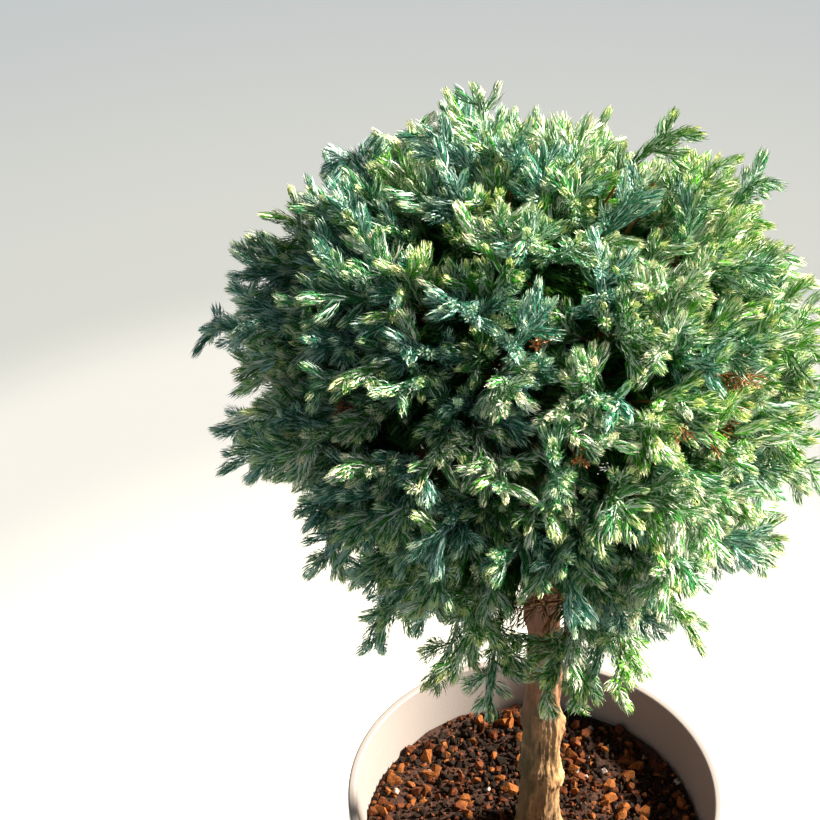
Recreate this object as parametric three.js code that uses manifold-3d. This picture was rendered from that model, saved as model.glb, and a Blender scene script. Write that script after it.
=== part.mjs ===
// A ball-headed conifer standard in a plain round pot: one clear stem, ascending boughs and a
// loosely clipped ball of soft needle sprays. Millimetres, +Z up, origin under the middle of the pot.
import * as THREE from "three";
import { mergeVertices } from "three/addons/utils/BufferGeometryUtils.js";
import Module from "manifold-3d";

// Pot: a thin moulded wall that tapers to a flat floor, with a rounded lip and drain holes.
const POT_RIM_RADIUS = 75;
const POT_HEIGHT = 128;
const POT_FOOT_RADIUS = 53;
const POT_WALL = 2;
const POT_ROUNDING = 1;
const POT_SIDES = 36;
const LIP_WIDTH = 3.2;
const LIP_DEPTH = 7;
const DRAIN_HOLES = 6;
const DRAIN_RADIUS = 4.5;
const DRAIN_CIRCLE = 36;

// Potting mix: fills the pot to a little under the lip, level where the stem stands.
const MIX_BELOW_RIM = 23;
const MIX_SIDES = 28;
const MIX_RINGS = 5;
const MIX_LUMP = 1.6;
const MIX_SEAT_RADIUS = 14;

// Stem: heights are from its flat foot on the mix, offsets are from the middle of that foot.
const STEM_X = 2;
const STEM_FOOT_RADIUS = 8.2;
const STEM_NECK_RADIUS = 5.3;
const STEM_TIP_RADIUS = 2.4;
const NECK_HEIGHT = 153;
const STEM_HEIGHT = 268;
const STEM_BENDS = [
  { height: 0, x: 0, y: 0 },
  { height: 45, x: -0.5, y: 0.5 },
  { height: 125, x: -2, y: 0 },
  { height: 208, x: -8.5, y: 0 },
  { height: 268, x: -11.8, y: 0 },
];
const STEM_SIDES = 12;
const STEM_RINGS = 22;
const RING_CROWDING = 1.15;
const ROOT_FLARE = 3;
const ROOT_FLARE_HEIGHT = 6;
const ROOT_RIBS = 3;
// The swellings where side branches were cut off: height, bearing, how far they stand out, spread.
const KNOTS = [
  { height: 14, bearing: 100, bulge: 1.4, spread: 5 },
  { height: 33, bearing: -20, bulge: 2.2, spread: 6 },
  { height: 40, bearing: 215, bulge: 2.0, spread: 5 },
  { height: 60, bearing: 10, bulge: 2.4, spread: 7 },
  { height: 66, bearing: 190, bulge: 1.8, spread: 5 },
  { height: 88, bearing: 80, bulge: 1.8, spread: 6 },
  { height: 104, bearing: -60, bulge: 1.5, spread: 6 },
  { height: 121, bearing: 170, bulge: 1.6, spread: 6 },
];
const KNOT_TIGHTNESS = 2.5;

// Ball: its middle is given from the stem's foot, and everything in it is placed from that middle.
const BALL_MIDDLE = new THREE.Vector3(-11.8, 0, 228.7);
const BALL_REACH = 103;
const REACH_VARIATION = 5;
// Where its edge swells or falls in, by bearing round the outline as seen from the front and above,
// anticlockwise from the right.
const OUTLINE_PITCH = 39;
const SWELL_SPREAD = 0.09;
const SWELLS = [
  { bearing: 33, swell: 8 },
  { bearing: 75, swell: -5 },
  { bearing: 162, swell: 8 },
  { bearing: 222, swell: -13 },
  { bearing: 259, swell: 9 },
  { bearing: 312, swell: -9 },
];
// A narrow parting low in the front of the ball, where the stem shows between the sprays.
const PARTING = { x: 12, halfWidth: 8, below: -66 };

// Masses of foliage, ring by ring. The boughs of a ring leave the stem one above another in steps,
// starting at a height from the middle of the ball.
const RINGS = [
  { name: "upper", count: 5, elevation: 39, bearing: 18, from: -1, base: 2.1 },
  { name: "middle", count: 6, elevation: 3, bearing: 50, from: -33, base: 2.4 },
  { name: "lower", count: 5, elevation: -32, bearing: 22, from: -62, base: 2.6 },
];
const BOUGH_STEP = 5.5;
const BOUGH_REACH = 40;
const BOUGH_RUN_OUT = 20;
const BOUGH_TIP_RADIUS = 1.6;
const BOUGH_JOINTS = 9;
const BOUGH_JOINT_SWELLING = 0.5;

// Dense middle of a mass: a tufted, domed piece of a shell.
const CORE_RADIUS = 76;
const CORE_HOLLOW = 44;
const CORE_THINNEST = 9;
const CORE_SHOULDER = 12;
const CORE_SHOULDER_BEND = 5;
const CORE_SWELL_SHARE = 0.6;
const CORE_DETAIL = 3;
const CORE_TUFT = 9;
const CORE_TUFT_SHARE = 0.42;
const CORE_DIMPLE = 2;
const UNDERSIDE_OPENING = 30;

// Twigs and needle sprays: the twigs fork inside the dense middle and the sprays fan out from there.
const TWIG_COUNT = 110;
const TWIG_RADIUS = 1.3;
const FORK_RADIUS = 58;
const FORK_PULL = 0.25;
const SPRAYS_PER_TWIG = 4;
const SPRAY_FAN = 0.124;
const SPRAY_UNEVENNESS = 0.15;
const SPRAY_WIDTH = 14;
const TIPS_AT = 0.76;
const WAIST_AT = 0.66;
const WAIST_SHARE = 0.35;
const FIT_TRIES = 7;
const LEAN_STEP = 0.022;
const SLIMMER_STEP = 0.1;
const STEM_ROOM = 4;
const SEED = 20817;

const CLEARANCE = 0.3;
const SMALLEST_EDGE = 0.2;
const MERGE_WITHIN = 1e-4;
const GOLDEN_ANGLE = Math.PI * (3 - Math.sqrt(5));
const UP = new THREE.Vector3(0, 0, 1);

const wasm = await Module();
wasm.setup();

// A small seeded generator, so that the plant is the same each time it is grown.
class Seeded {
  constructor(seed) {
    this.state = seed;
  }
  next() {
    this.state = (1664525 * this.state + 1013904223) % 4294967296;
    return this.state / 4294967296;
  }
  between(low, high) {
    return low + (high - low) * this.next();
  }
}

const radians = THREE.MathUtils.degToRad;
const mix = THREE.MathUtils.lerp;

function directionOf(bearing, elevation) {
  const level = Math.cos(radians(elevation));
  return new THREE.Vector3(
    level * Math.cos(radians(bearing)),
    level * Math.sin(radians(bearing)),
    Math.sin(radians(elevation)),
  );
}

// Two directions square to a given one, kept steady along a limb by the limb's own general way.
function sidesOf(direction, general = direction) {
  const helper = Math.abs(general.z) < 0.7 ? UP : new THREE.Vector3(0, 1, 0);
  const across = new THREE.Vector3().crossVectors(helper, direction).normalize();
  const over = new THREE.Vector3().crossVectors(across, direction).normalize();
  return [across, over];
}

// Geometry with only its corners and faces, each corner held once.
function bare(geometry) {
  geometry.deleteAttribute("normal");
  geometry.deleteAttribute("uv");
  return mergeVertices(geometry, MERGE_WITHIN);
}

function solidFrom(geometry) {
  const merged = bare(geometry.clone());
  return new wasm.Manifold(
    new wasm.Mesh({
      numProp: 3,
      vertProperties: new Float32Array(merged.attributes.position.array),
      triVerts: new Uint32Array(merged.index.array),
    }),
  );
}

function geometryFrom(solid) {
  const mesh = solid.getMesh();
  const geometry = new THREE.BufferGeometry();
  geometry.setAttribute("position", new THREE.BufferAttribute(mesh.vertProperties, 3));
  geometry.setIndex(new THREE.BufferAttribute(mesh.triVerts, 1));
  geometry.computeVertexNormals();
  return geometry;
}

// Moves every corner of a geometry to where the given rule places it.
function reshape(geometry, placed) {
  const places = geometry.attributes.position;
  for (let i = 0; i < places.count; i++) {
    const point = placed(new THREE.Vector3().fromBufferAttribute(places, i));
    places.setXYZ(i, point.x, point.y, point.z);
  }
  geometry.computeVertexNormals();
  return geometry;
}

function cornersOf(geometry) {
  const places = geometry.attributes.position;
  return Array.from({ length: places.count }, (_, i) => new THREE.Vector3().fromBufferAttribute(places, i));
}

// A tapered limb: a cylinder bent along a curve, its radius given for each share of the way.
function limb(curve, radiusAt, steps, sides) {
  const general = curve.getPoint(1).sub(curve.getPoint(0)).normalize();
  return reshape(bare(new THREE.CylinderGeometry(1, 1, 1, sides, steps)), (corner) => {
    const along = THREE.MathUtils.clamp(corner.y + 0.5, 0, 1);
    const [across, over] = sidesOf(curve.getTangent(along), general);
    return curve.getPoint(along)
      .addScaledVector(across, corner.x * radiusAt(along))
      .addScaledVector(over, corner.z * radiusAt(along));
  });
}

function innerPotRadius(height) {
  const share = (height - POT_WALL) / (POT_HEIGHT - POT_WALL);
  return mix(POT_FOOT_RADIUS - POT_WALL, POT_RIM_RADIUS - LIP_WIDTH, share);
}

function makePot() {
  const lipFoot = POT_HEIGHT - LIP_DEPTH;
  const profile = [
    [0, 0],
    [POT_FOOT_RADIUS - POT_ROUNDING, 0],
    [POT_FOOT_RADIUS, POT_ROUNDING],
    [innerPotRadius(lipFoot) + POT_WALL, lipFoot],
    [POT_RIM_RADIUS - POT_ROUNDING, lipFoot + POT_ROUNDING],
    [POT_RIM_RADIUS, lipFoot + 2 * POT_ROUNDING],
    [POT_RIM_RADIUS, POT_HEIGHT - POT_ROUNDING],
    [POT_RIM_RADIUS - POT_ROUNDING, POT_HEIGHT],
    [innerPotRadius(POT_HEIGHT) + POT_ROUNDING, POT_HEIGHT],
    [innerPotRadius(POT_HEIGHT - POT_ROUNDING), POT_HEIGHT - POT_ROUNDING],
    [innerPotRadius(POT_WALL), POT_WALL],
    [0, POT_WALL],
  ].map(([radius, height]) => new THREE.Vector2(radius, height));
  let pot = solidFrom(new THREE.LatheGeometry(profile, POT_SIDES).rotateX(Math.PI / 2));
  for (let i = 0; i < DRAIN_HOLES; i++) {
    const bearing = (2 * Math.PI * i) / DRAIN_HOLES;
    const hole = new THREE.CylinderGeometry(DRAIN_RADIUS, DRAIN_RADIUS, 4 * POT_WALL, 8)
      .rotateX(Math.PI / 2)
      .translate(DRAIN_CIRCLE * Math.cos(bearing), DRAIN_CIRCLE * Math.sin(bearing), 0);
    pot = pot.subtract(solidFrom(hole));
  }
  return geometryFrom(pot);
}

// The mix is turned like the pot's hollow, then its top is roughened outside the stem's seat.
function makeMix() {
  const bottom = POT_WALL + CLEARANCE;
  const top = POT_HEIGHT - MIX_BELOW_RIM;
  const edge = innerPotRadius(top - MIX_LUMP) - CLEARANCE;
  const profile = [
    [0, bottom],
    [innerPotRadius(bottom) - 2 * CLEARANCE, bottom],
  ];
  for (let i = 0; i <= MIX_RINGS; i++) {
    profile.push([mix(edge, MIX_SEAT_RADIUS, i / MIX_RINGS), top]);
  }
  profile.push([0, top]);
  const points = profile.map(([radius, height]) => new THREE.Vector2(radius, height));
  const turned = bare(new THREE.LatheGeometry(points, MIX_SIDES)).rotateX(Math.PI / 2);
  const random = new Seeded(SEED + 1);
  return reshape(turned, (corner) => {
    const outside = Math.hypot(corner.x, corner.y) > MIX_SEAT_RADIUS + 1;
    if (outside && corner.z > top - 1) corner.z += random.between(-MIX_LUMP, MIX_LUMP);
    return corner;
  });
}

const stemLine = new THREE.CatmullRomCurve3(
  STEM_BENDS.map(({ height, x, y }) => new THREE.Vector3(x, y, height)),
);

// The middle of the stem at a height, found by halving.
function stemMiddle(height) {
  let low = 0;
  let high = 1;
  for (let i = 0; i < 24; i++) {
    const half = (low + high) / 2;
    if (stemLine.getPoint(half).z < height) low = half;
    else high = half;
  }
  return stemLine.getPoint(low).setZ(height);
}

function stemRadius(height, turn) {
  const above = (height - NECK_HEIGHT) / (STEM_HEIGHT - NECK_HEIGHT);
  let radius =
    above < 0
      ? mix(STEM_FOOT_RADIUS, STEM_NECK_RADIUS, height / NECK_HEIGHT)
      : mix(STEM_NECK_RADIUS, STEM_TIP_RADIUS, above);
  const ribs = 1 + 0.25 * Math.cos(ROOT_RIBS * turn);
  radius += ROOT_FLARE * ribs * Math.exp(-height / ROOT_FLARE_HEIGHT);
  for (const knot of KNOTS) {
    const round = KNOT_TIGHTNESS * (1 - Math.cos(turn - radians(knot.bearing)));
    const along = (height - knot.height) / knot.spread;
    radius += knot.bulge * Math.exp(-along * along - round);
  }
  return radius;
}

// The stem as level rings, so that its foot is a flat cut; grown by a gap, it clears room for itself.
function makeStem(gap) {
  return reshape(bare(new THREE.CylinderGeometry(1, 1, 1, STEM_SIDES, STEM_RINGS)), (corner) => {
    const along = THREE.MathUtils.clamp(corner.y + 0.5, 0, 1);
    const height = STEM_HEIGHT * Math.pow(along, RING_CROWDING);
    const turn = Math.atan2(-corner.z, corner.x);
    const radius = Math.round(Math.hypot(corner.x, corner.z)) * (stemRadius(height, turn) + gap);
    const middle = stemMiddle(height);
    const end = Math.floor(along) - Math.floor(1 - along);
    return new THREE.Vector3(
      middle.x + radius * Math.cos(turn),
      middle.y + radius * Math.sin(turn),
      height + end * gap,
    );
  });
}

// The masses: one at the top around the stem's tip, the others at the ends of their boughs.
function listMasses() {
  const masses = [{ name: "top", way: UP.clone() }];
  for (const ring of RINGS) {
    for (let i = 0; i < ring.count; i++) {
      const step = Math.floor((2 * i) / ring.count) + ((2 * i) % ring.count);
      masses.push({
        name: `${ring.name}_${i + 1}`,
        way: directionOf(ring.bearing + (360 * i) / ring.count, ring.elevation),
        bough: { leaves: ring.from + BOUGH_STEP * step, base: ring.base },
      });
    }
  }
  return masses;
}

const masses = listMasses();

function ownerOf(way) {
  return masses.reduce((best, mass) => (mass.way.dot(way) > best.way.dot(way) ? mass : best));
}

// Each mass keeps to the part of the ball that is nearer to its own way than to any other's.
function wallsOf(mass) {
  return masses
    .filter((other) => other !== mass)
    .map((other) => mass.way.clone().sub(other.way).normalize());
}

function insideSpace(point, walls) {
  return walls.every((wall) => wall.dot(point) > CLEARANCE);
}

function spaceOf(walls) {
  const reach = 2 * BALL_REACH;
  return walls.reduce((space, wall) => {
    const block = new THREE.BoxGeometry(4 * reach, 4 * reach, 2 * reach)
      .translate(0, 0, CLEARANCE - reach)
      .applyQuaternion(new THREE.Quaternion().setFromUnitVectors(UP, wall));
    return space.subtract(solidFrom(block));
  }, solidFrom(new THREE.SphereGeometry(reach, 8, 6)));
}

function makeBough({ way, bough }, stemRoom) {
  const start = stemMiddle(BALL_MIDDLE.z + bough.leaves).sub(BALL_MIDDLE);
  const end = way.clone().multiplyScalar(BOUGH_REACH);
  const curve = new THREE.QuadraticBezierCurve3(start, end.clone().addScaledVector(way, -BOUGH_RUN_OUT), end);
  const radiusAt = (along) =>
    mix(bough.base, BOUGH_TIP_RADIUS, along) + BOUGH_JOINT_SWELLING * Math.cos(BOUGH_JOINTS * along) ** 2;
  return geometryFrom(solidFrom(limb(curve, radiusAt, 4, 5)).subtract(stemRoom));
}

// How far the ball's edge swells or falls in towards a direction.
function swellAt(way) {
  const tilt = radians(OUTLINE_PITCH);
  return SWELLS.reduce((sum, { bearing, swell }) => {
    const rise = Math.sin(radians(bearing));
    const towards = new THREE.Vector3(Math.cos(radians(bearing)), rise * Math.sin(tilt), rise * Math.cos(tilt));
    return sum + swell * Math.exp((way.dot(towards) - 1) / SWELL_SPREAD);
  }, 0);
}

function inParting(point) {
  const tilt = radians(OUTLINE_PITCH);
  const lift = point.y * Math.sin(tilt) + point.z * Math.cos(tilt);
  return Math.abs(point.x - PARTING.x) < PARTING.halfWidth && point.y < 0 && lift < PARTING.below;
}

function nearStem(point) {
  const height = point.z + BALL_MIDDLE.z;
  if (height > STEM_HEIGHT) return false;
  const middle = stemMiddle(height).sub(BALL_MIDDLE);
  return Math.hypot(point.x - middle.x, point.y - middle.y) < stemRadius(height, 0) + STEM_ROOM;
}

// The dense middle of one mass: tufts and dimples on a dome that falls away towards its neighbours.
function makeCore(mass, random) {
  const ball = reshape(bare(new THREE.IcosahedronGeometry(1, CORE_DETAIL)), (corner) => {
    const way = corner.normalize();
    const away = 1 - way.dot(mass.way);
    const shoulder = CORE_SHOULDER * away * (1 + CORE_SHOULDER_BEND * away);
    const dome = CORE_RADIUS + CORE_SWELL_SHARE * swellAt(way) - shoulder;
    const tufted = random.next() < CORE_TUFT_SHARE;
    const rough = tufted ? CORE_TUFT * random.between(0.6, 1) : -CORE_DIMPLE * random.next();
    return way.multiplyScalar(Math.max(dome, CORE_HOLLOW + CORE_THINNEST) + rough);
  });
  return solidFrom(ball).subtract(solidFrom(new THREE.IcosahedronGeometry(CORE_HOLLOW, 2)));
}

// One spray of needles: three-sided, widening to a whorl of forward-pointing needle tips, stepping
// back in to a waist behind them and running on to its own tip.
function spray(root, tip, width, spin) {
  const way = tip.clone().sub(root);
  const length = way.length();
  const outline = [
    new THREE.Vector2(0, 0),
    new THREE.Vector2(width / 2, TIPS_AT * length),
    new THREE.Vector2((WAIST_SHARE * width) / 2, WAIST_AT * length),
    new THREE.Vector2(0, length),
  ];
  const turn = new THREE.Quaternion().setFromUnitVectors(new THREE.Vector3(0, 1, 0), way.normalize());
  return bare(new THREE.LatheGeometry(outline, 3, spin))
    .applyQuaternion(turn)
    .translate(root.x, root.y, root.z);
}

// An even lattice of directions, from the top of the ball down to its underside.
function latticeDirection(index, count) {
  const height = 1 - (2 * index + 1) / count;
  const level = Math.sqrt(1 - height * height);
  const turn = index * GOLDEN_ANGLE;
  return new THREE.Vector3(level * Math.cos(turn), level * Math.sin(turn), height);
}

// The growth rule: an even lattice of twigs, each forking into sprays that fan out to the edge.
function growSprays() {
  const random = new Seeded(SEED);
  const sprays = [];
  for (let twig = 0; twig < TWIG_COUNT; twig++) {
    const middle = latticeDirection(twig, TWIG_COUNT);
    const [across, over] = sidesOf(middle);
    const start = random.between(0, SPRAYS_PER_TWIG);
    const lift = random.between(BOUGH_REACH + 5, FORK_RADIUS);
    for (let i = 0; i < SPRAYS_PER_TWIG; i++) {
      const share = start + i + SPRAY_UNEVENNESS * random.between(-1, 1);
      const spin = (2 * Math.PI * share) / SPRAYS_PER_TWIG;
      const way = middle.clone()
        .addScaledVector(across, SPRAY_FAN * Math.cos(spin))
        .addScaledVector(over, SPRAY_FAN * Math.sin(spin))
        .normalize();
      const reach = BALL_REACH + swellAt(way) + REACH_VARIATION * random.between(-1, 1);
      sprays.push({ twig, mass: ownerOf(way), way, reach, lift, spin });
    }
  }
  return sprays;
}

// A twig forks under the middle of its sprays, drawn in towards the stem of their mass.
function forkOf(mass, sprays) {
  const middle = new THREE.Vector3();
  for (const { way } of sprays) middle.add(way);
  return middle.normalize().lerp(mass.way, FORK_PULL).setLength(FORK_RADIUS);
}

// A spray that would leave its mass's space, or stand in the parting or against the stem, leans in
// and slims down; if that isn't enough, it is left out.
function fittedSpray(mass, walls, fork, { way, reach, spin }) {
  for (let attempt = 0; attempt < FIT_TRIES; attempt++) {
    const tip = way.clone().addScaledVector(mass.way, LEAN_STEP * attempt).setLength(reach);
    const grown = spray(fork, tip, SPRAY_WIDTH * (1 - SLIMMER_STEP * attempt), spin + attempt);
    const fits = (point) => insideSpace(point, walls) && !inParting(point) && !nearStem(point);
    if (cornersOf(grown).every(fits)) return [solidFrom(grown)];
  }
  return [];
}

// One mass: its stem, dense middle, twigs and sprays joined in one piece, open around the main stem.
function makeMass(mass, sprays, random, opening) {
  const walls = wallsOf(mass);
  const space = spaceOf(walls);
  const along = (radius) => mass.way.clone().multiplyScalar(radius);
  const stem = new THREE.LineCurve3(along(BOUGH_REACH + CLEARANCE), along(FORK_RADIUS));
  const pieces = [
    makeCore(mass, random).intersect(space),
    solidFrom(limb(stem, () => BOUGH_TIP_RADIUS, 1, 6)),
  ];
  const own = sprays.filter((one) => one.mass === mass);
  for (const index of new Set(own.map((one) => one.twig))) {
    const group = own.filter((one) => one.twig === index);
    const fork = forkOf(mass, group);
    const twig = limb(new THREE.LineCurve3(along(group[0].lift), fork), () => TWIG_RADIUS, 1, 3);
    pieces.push(solidFrom(twig).intersect(space));
    pieces.push(...group.flatMap((one) => fittedSpray(mass, walls, fork, one)));
  }
  return geometryFrom(wasm.Manifold.union(pieces).subtract(opening).simplify(SMALLEST_EDGE));
}

function meshOf(name, geometry, color, roughness) {
  const mesh = new THREE.Mesh(geometry, new THREE.MeshStandardMaterial({ color, roughness, metalness: 0 }));
  mesh.name = name;
  return mesh;
}

const standard = new THREE.Group();
standard.add(meshOf("pot", makePot(), 0xcabfb6, 0.5));
standard.add(meshOf("potting_mix", makeMix(), 0x5f3620, 0.95));

const plant = new THREE.Group();
plant.position.set(STEM_X, 0, POT_HEIGHT - MIX_BELOW_RIM + CLEARANCE);
plant.add(meshOf("trunk", makeStem(0), 0xa0744f, 0.9));
standard.add(plant);

const ball = new THREE.Group();
ball.position.copy(BALL_MIDDLE);
plant.add(ball);

const stemRoom = solidFrom(makeStem(CLEARANCE)).translate(BALL_MIDDLE.clone().negate().toArray());
for (const mass of masses) {
  if (mass.bough) ball.add(meshOf(`bough_${mass.name}`, makeBough(mass, stemRoom), 0x7c5238, 0.9));
}

const opening = solidFrom(
  new THREE.CylinderGeometry(UNDERSIDE_OPENING / 2, UNDERSIDE_OPENING, BALL_REACH, 16)
    .rotateX(Math.PI / 2)
    .translate(0, 0, -CORE_HOLLOW / 2 - BALL_REACH / 2),
);
const sprays = growSprays();
const random = new Seeded(SEED + 2);
for (const mass of masses) {
  ball.add(meshOf(`foliage_${mass.name}`, makeMass(mass, sprays, random, opening), 0x5f8f80, 0.75));
}

export default standard;
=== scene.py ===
"""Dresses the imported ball-headed conifer standard: moulded pot, crumbly potting mix, barked stem and
boughs, twigs, and a crown of needle-clad shoots grown by the same rule as the solids."""

import functools
import math

import bmesh
import bpy
import numpy as np
from mathutils import Matrix, Vector, noise


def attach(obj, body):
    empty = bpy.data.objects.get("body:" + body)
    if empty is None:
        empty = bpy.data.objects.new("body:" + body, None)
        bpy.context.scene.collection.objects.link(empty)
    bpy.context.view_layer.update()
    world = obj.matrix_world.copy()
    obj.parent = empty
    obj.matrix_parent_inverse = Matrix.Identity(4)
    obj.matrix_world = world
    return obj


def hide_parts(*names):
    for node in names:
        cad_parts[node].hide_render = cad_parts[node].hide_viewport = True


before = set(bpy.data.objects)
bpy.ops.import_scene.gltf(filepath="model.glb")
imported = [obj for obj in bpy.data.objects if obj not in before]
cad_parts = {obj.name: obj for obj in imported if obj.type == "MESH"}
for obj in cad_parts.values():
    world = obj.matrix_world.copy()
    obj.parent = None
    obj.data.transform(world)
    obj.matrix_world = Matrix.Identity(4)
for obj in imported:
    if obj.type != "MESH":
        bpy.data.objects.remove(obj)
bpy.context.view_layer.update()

bl_info = {
    "name": "Ball Topiary Maker",
    "version": (1, 0, 0),
    "blender": (4, 5, 0),
    "location": "View3D > Sidebar > Topiary",
    "description": "Grows a ball-headed conifer standard in a round pot",
    "category": "Add Mesh",
}

MM = 0.001
UP = np.array([0.0, 0.0, 1.0])
GOLDEN_ANGLE = math.pi * (3 - math.sqrt(5))

# Pot and mix, in millimetres, as in the part's source.
POT_ROUNDING = 1.0
POT_SIDES = 144
DRAIN_HOLES = 6
DRAIN_RADIUS = 4.5
DRAIN_CIRCLE = 36.0
MIX_BELOW_RIM = 23.0
# Crumbs for each square metre, before they are thinned to their spacing.
CRUMB_DENSITY = 4e5

# Stem, from its foot on the mix.
STEM_X = 2.0
STEM_Z = 105.3
STEM_BENDS = ((0, 0, 0), (-0.5, 0.5, 45), (-2, 0, 125), (-8.5, 0, 208), (-11.8, 0, 268))
STEM_FOOT_RADIUS = 8.2
STEM_NECK_RADIUS = 5.3
STEM_TIP_RADIUS = 2.4
NECK_HEIGHT = 153.0
STEM_HEIGHT = 268.0
ROOT_FLARE = 3.0
ROOT_FLARE_HEIGHT = 6.0
ROOT_RIBS = 3
# Height, bearing, how far it stands out, spread.
KNOTS = (
    (14, 100, 1.4, 5),
    (33, -20, 2.2, 6),
    (40, 215, 2.0, 5),
    (60, 10, 2.4, 7),
    (66, 190, 1.8, 5),
    (88, 80, 1.8, 6),
    (104, -60, 1.5, 6),
    (121, 170, 1.6, 6),
)
KNOT_TIGHTNESS = 2.5
# A knot's scar: the depth and width of its middle, and the height, radius and width of its lip.
SCAR_DEPTH, SCAR_WIDTH = 0.9, 1.7
SCAR_LIP, SCAR_LIP_RADIUS, SCAR_LIP_WIDTH = 0.55, 2.6, 0.8
# Heights in metres between which the bark turns to the younger, redder bark under the ball.
UPPER_BARK = (0.155, 0.2)
# How much more of the dark olive algae film there is for each metre towards the stem's -X side, away from
# the key light:
# algae patches, with painted shade spread over that side.
ALGAE_AND_SHADE_SIDE = 22.0

# Ball: its middle from the stem's foot, and the swellings of its edge by bearing.
BALL_MIDDLE = np.array([-11.8, 0.0, 228.7])
OUTLINE_PITCH = math.radians(39)
SWELL_SPREAD = 0.09
SWELLS = ((33, 8), (75, -5), (162, 8), (222, -13), (259, 9), (312, -9))
# Smaller swellings that only the finer shoots show.
FINE_SWELL_SPREAD = 0.03
FINE_SWELLS = ((42, -13), (98, -4), (132, -11), (172, 3), (228, -13), (303, -9), (338, -9))
# A narrow parting low in the front of the ball, where the stem shows between the sprays.
PARTING_X, PARTING_HALF_WIDTH, PARTING_BELOW = 2.5, 7.5, -66.0
# Free sprays, which hang in front of the stem or stand out of the ball's edge: where each leaves its
# twig, its tip, and its tint.
FREE_SPRAYS = (
    ((12, -54, -50), (4, -86, -69), "sage"),
    ((13, -62, -52), (17, -90, -58), "green"),
    ((27, -60, -42), (27, -94, -52), "fresh"),
    ((-10, -60, -50), (-14, -86, -66), "teal"),
    ((13, -60, -54), (-8, -72, -50), "green"),
    ((15, -50, -43), (-3, -64, -43), "dead"),
    ((-44, -39, -48), (-50, -56, -70), "blue"),
    ((-74, 8, 12), (-109, 14, 12), "blue"),
    ((-70, -6, -10), (-101, -4, -19), "blue"),
    ((-68, 16, 26), (-92, 20, 35), "teal"),
    ((-46, 22, 54), (-60, 28, 75), "blue"),
    ((56, 18, 50), (77, 22, 69), "teal"),
)

# Masses, ring by ring: name, count, elevation, bearing, first leaving height, bough base radius.
RINGS = (
    ("upper", 5, 39, 18, -1, 2.1),
    ("middle", 6, 3, 50, -33, 2.4),
    ("lower", 5, -32, 22, -62, 2.6),
)
BOUGH_STEP = 5.5
BOUGH_REACH = 40.0
BOUGH_RUN_OUT = 20.0
BOUGH_TIP_RADIUS = 1.6
BOUGH_JOINTS = 9
BOUGH_JOINT_SWELLING = 0.5

# Twigs and sprays.
TWIG_COUNT = 110
FORK_RADIUS = 58.0
FORK_PULL = 0.25
SPRAYS_PER_TWIG = 4
SPRAY_FAN = 0.124
SPRAY_UNEVENNESS = 0.15
STEM_ROOM = 4.0
SEED = 20817

# Spots where shoots have dried out, in the ball's own millimetres from its middle, and how far each
# spreads. The four from (47, -69, 40) to (71, -45, 44) are one dried branch.
DEAD_SPOTS = (
    ((-1, -61, 69), 7),
    ((12, -82, 39), 7),
    ((3, -89, -13), 10),
    ((-66, -49, 32), 7),
    ((39, 3, 83), 6),
    ((47, -69, 40), 6),
    ((58, -57, 26), 7),
    ((65, -50, 35), 7),
    ((71, -45, 44), 7),
    ((38, 70, 40), 9),
    ((-40, 66, -48), 9),
    ((10, -56, -47), 9),
)
DRIED_SHOOTS = 4
# Green shoots that end within this share of a dried spot's spread are dried too.
DRIED_SHARE = 0.75
# Over a dried spot the foliage is open: from this far above it, within this share of its spread.
POCKET_ABOVE = 3.0
POCKET_SHARE = 0.7

# The sprays' edge lies this far inside their reach.
EDGE_INSET = 3.0
# Sprays that fall short of the edge or pass it: their shares, and by how much.
SHORT_SHARE, SHORT_BY = 0.46, (7, 20)
LONG_SHARE, LONG_BY = 0.1, (4, 9)
# The others miss the edge by a mean and a spread, inside these limits.
USUAL_MEAN, USUAL_SPREAD, USUAL_LIMITS = 0.4, 3.0, (-5, 6)
# Shares of a spray between which its side shoots stand. A free spray has them from lower down.
SHOOTS_FROM, FREE_SHOOTS_FROM, SHOOTS_TO = 0.32, 0.12, 0.9
# The lowest sprays stand further apart.
THIN_BELOW = -40.0
THINNED_SHARE = 0.45
# Depth below the ball's middle at which a shoot counts as fully low.
LOW_DEPTH = 80
# The lowest shoots are this much weaker, and a weak shoot's needles are shorter and spread wider.
LOW_WEAKNESS = 0.22
WEAK_SPREAD = 1.2
# Vigour of the side shoots, of a dried side shoot, of a spray's own end and of the shaded shoots.
SIDE_VIGOUR, DEAD_VIGOUR, SPRAY_VIGOUR, INNER_VIGOUR = (0.86, 1.05), 0.42, 0.95, 1.0
# Side shoots that end nearer the ball's middle than this are dark: the older inner foliage's own darker
# green, with painted shade for the shade inside the ball.
DARK_INSIDE = 74
# Side shoots longer than this fork.
FORKED_RUN = 13
# Share of the outer side shoots that take a tint of their own.
OWN_TINT_SHARE = 0.22
# A needle whose chance, from 0 to 1, is over this takes the tint's second colour.
SECOND_FROM = 0.54
# How unevenly the young needles begin along a shoot.
YOUNG_UNEVENNESS = 0.22
# How much further apart the needles of dried shoots are.
DEAD_GAP = 2.2
# How far from the middle the shaded shoots inside the ball reach, and their side shoots' lengths.
INNER_REACH = (66, 81)
INNER_SIDES, INNER_SIDE_RUN = 7, (9, 15)

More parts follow.
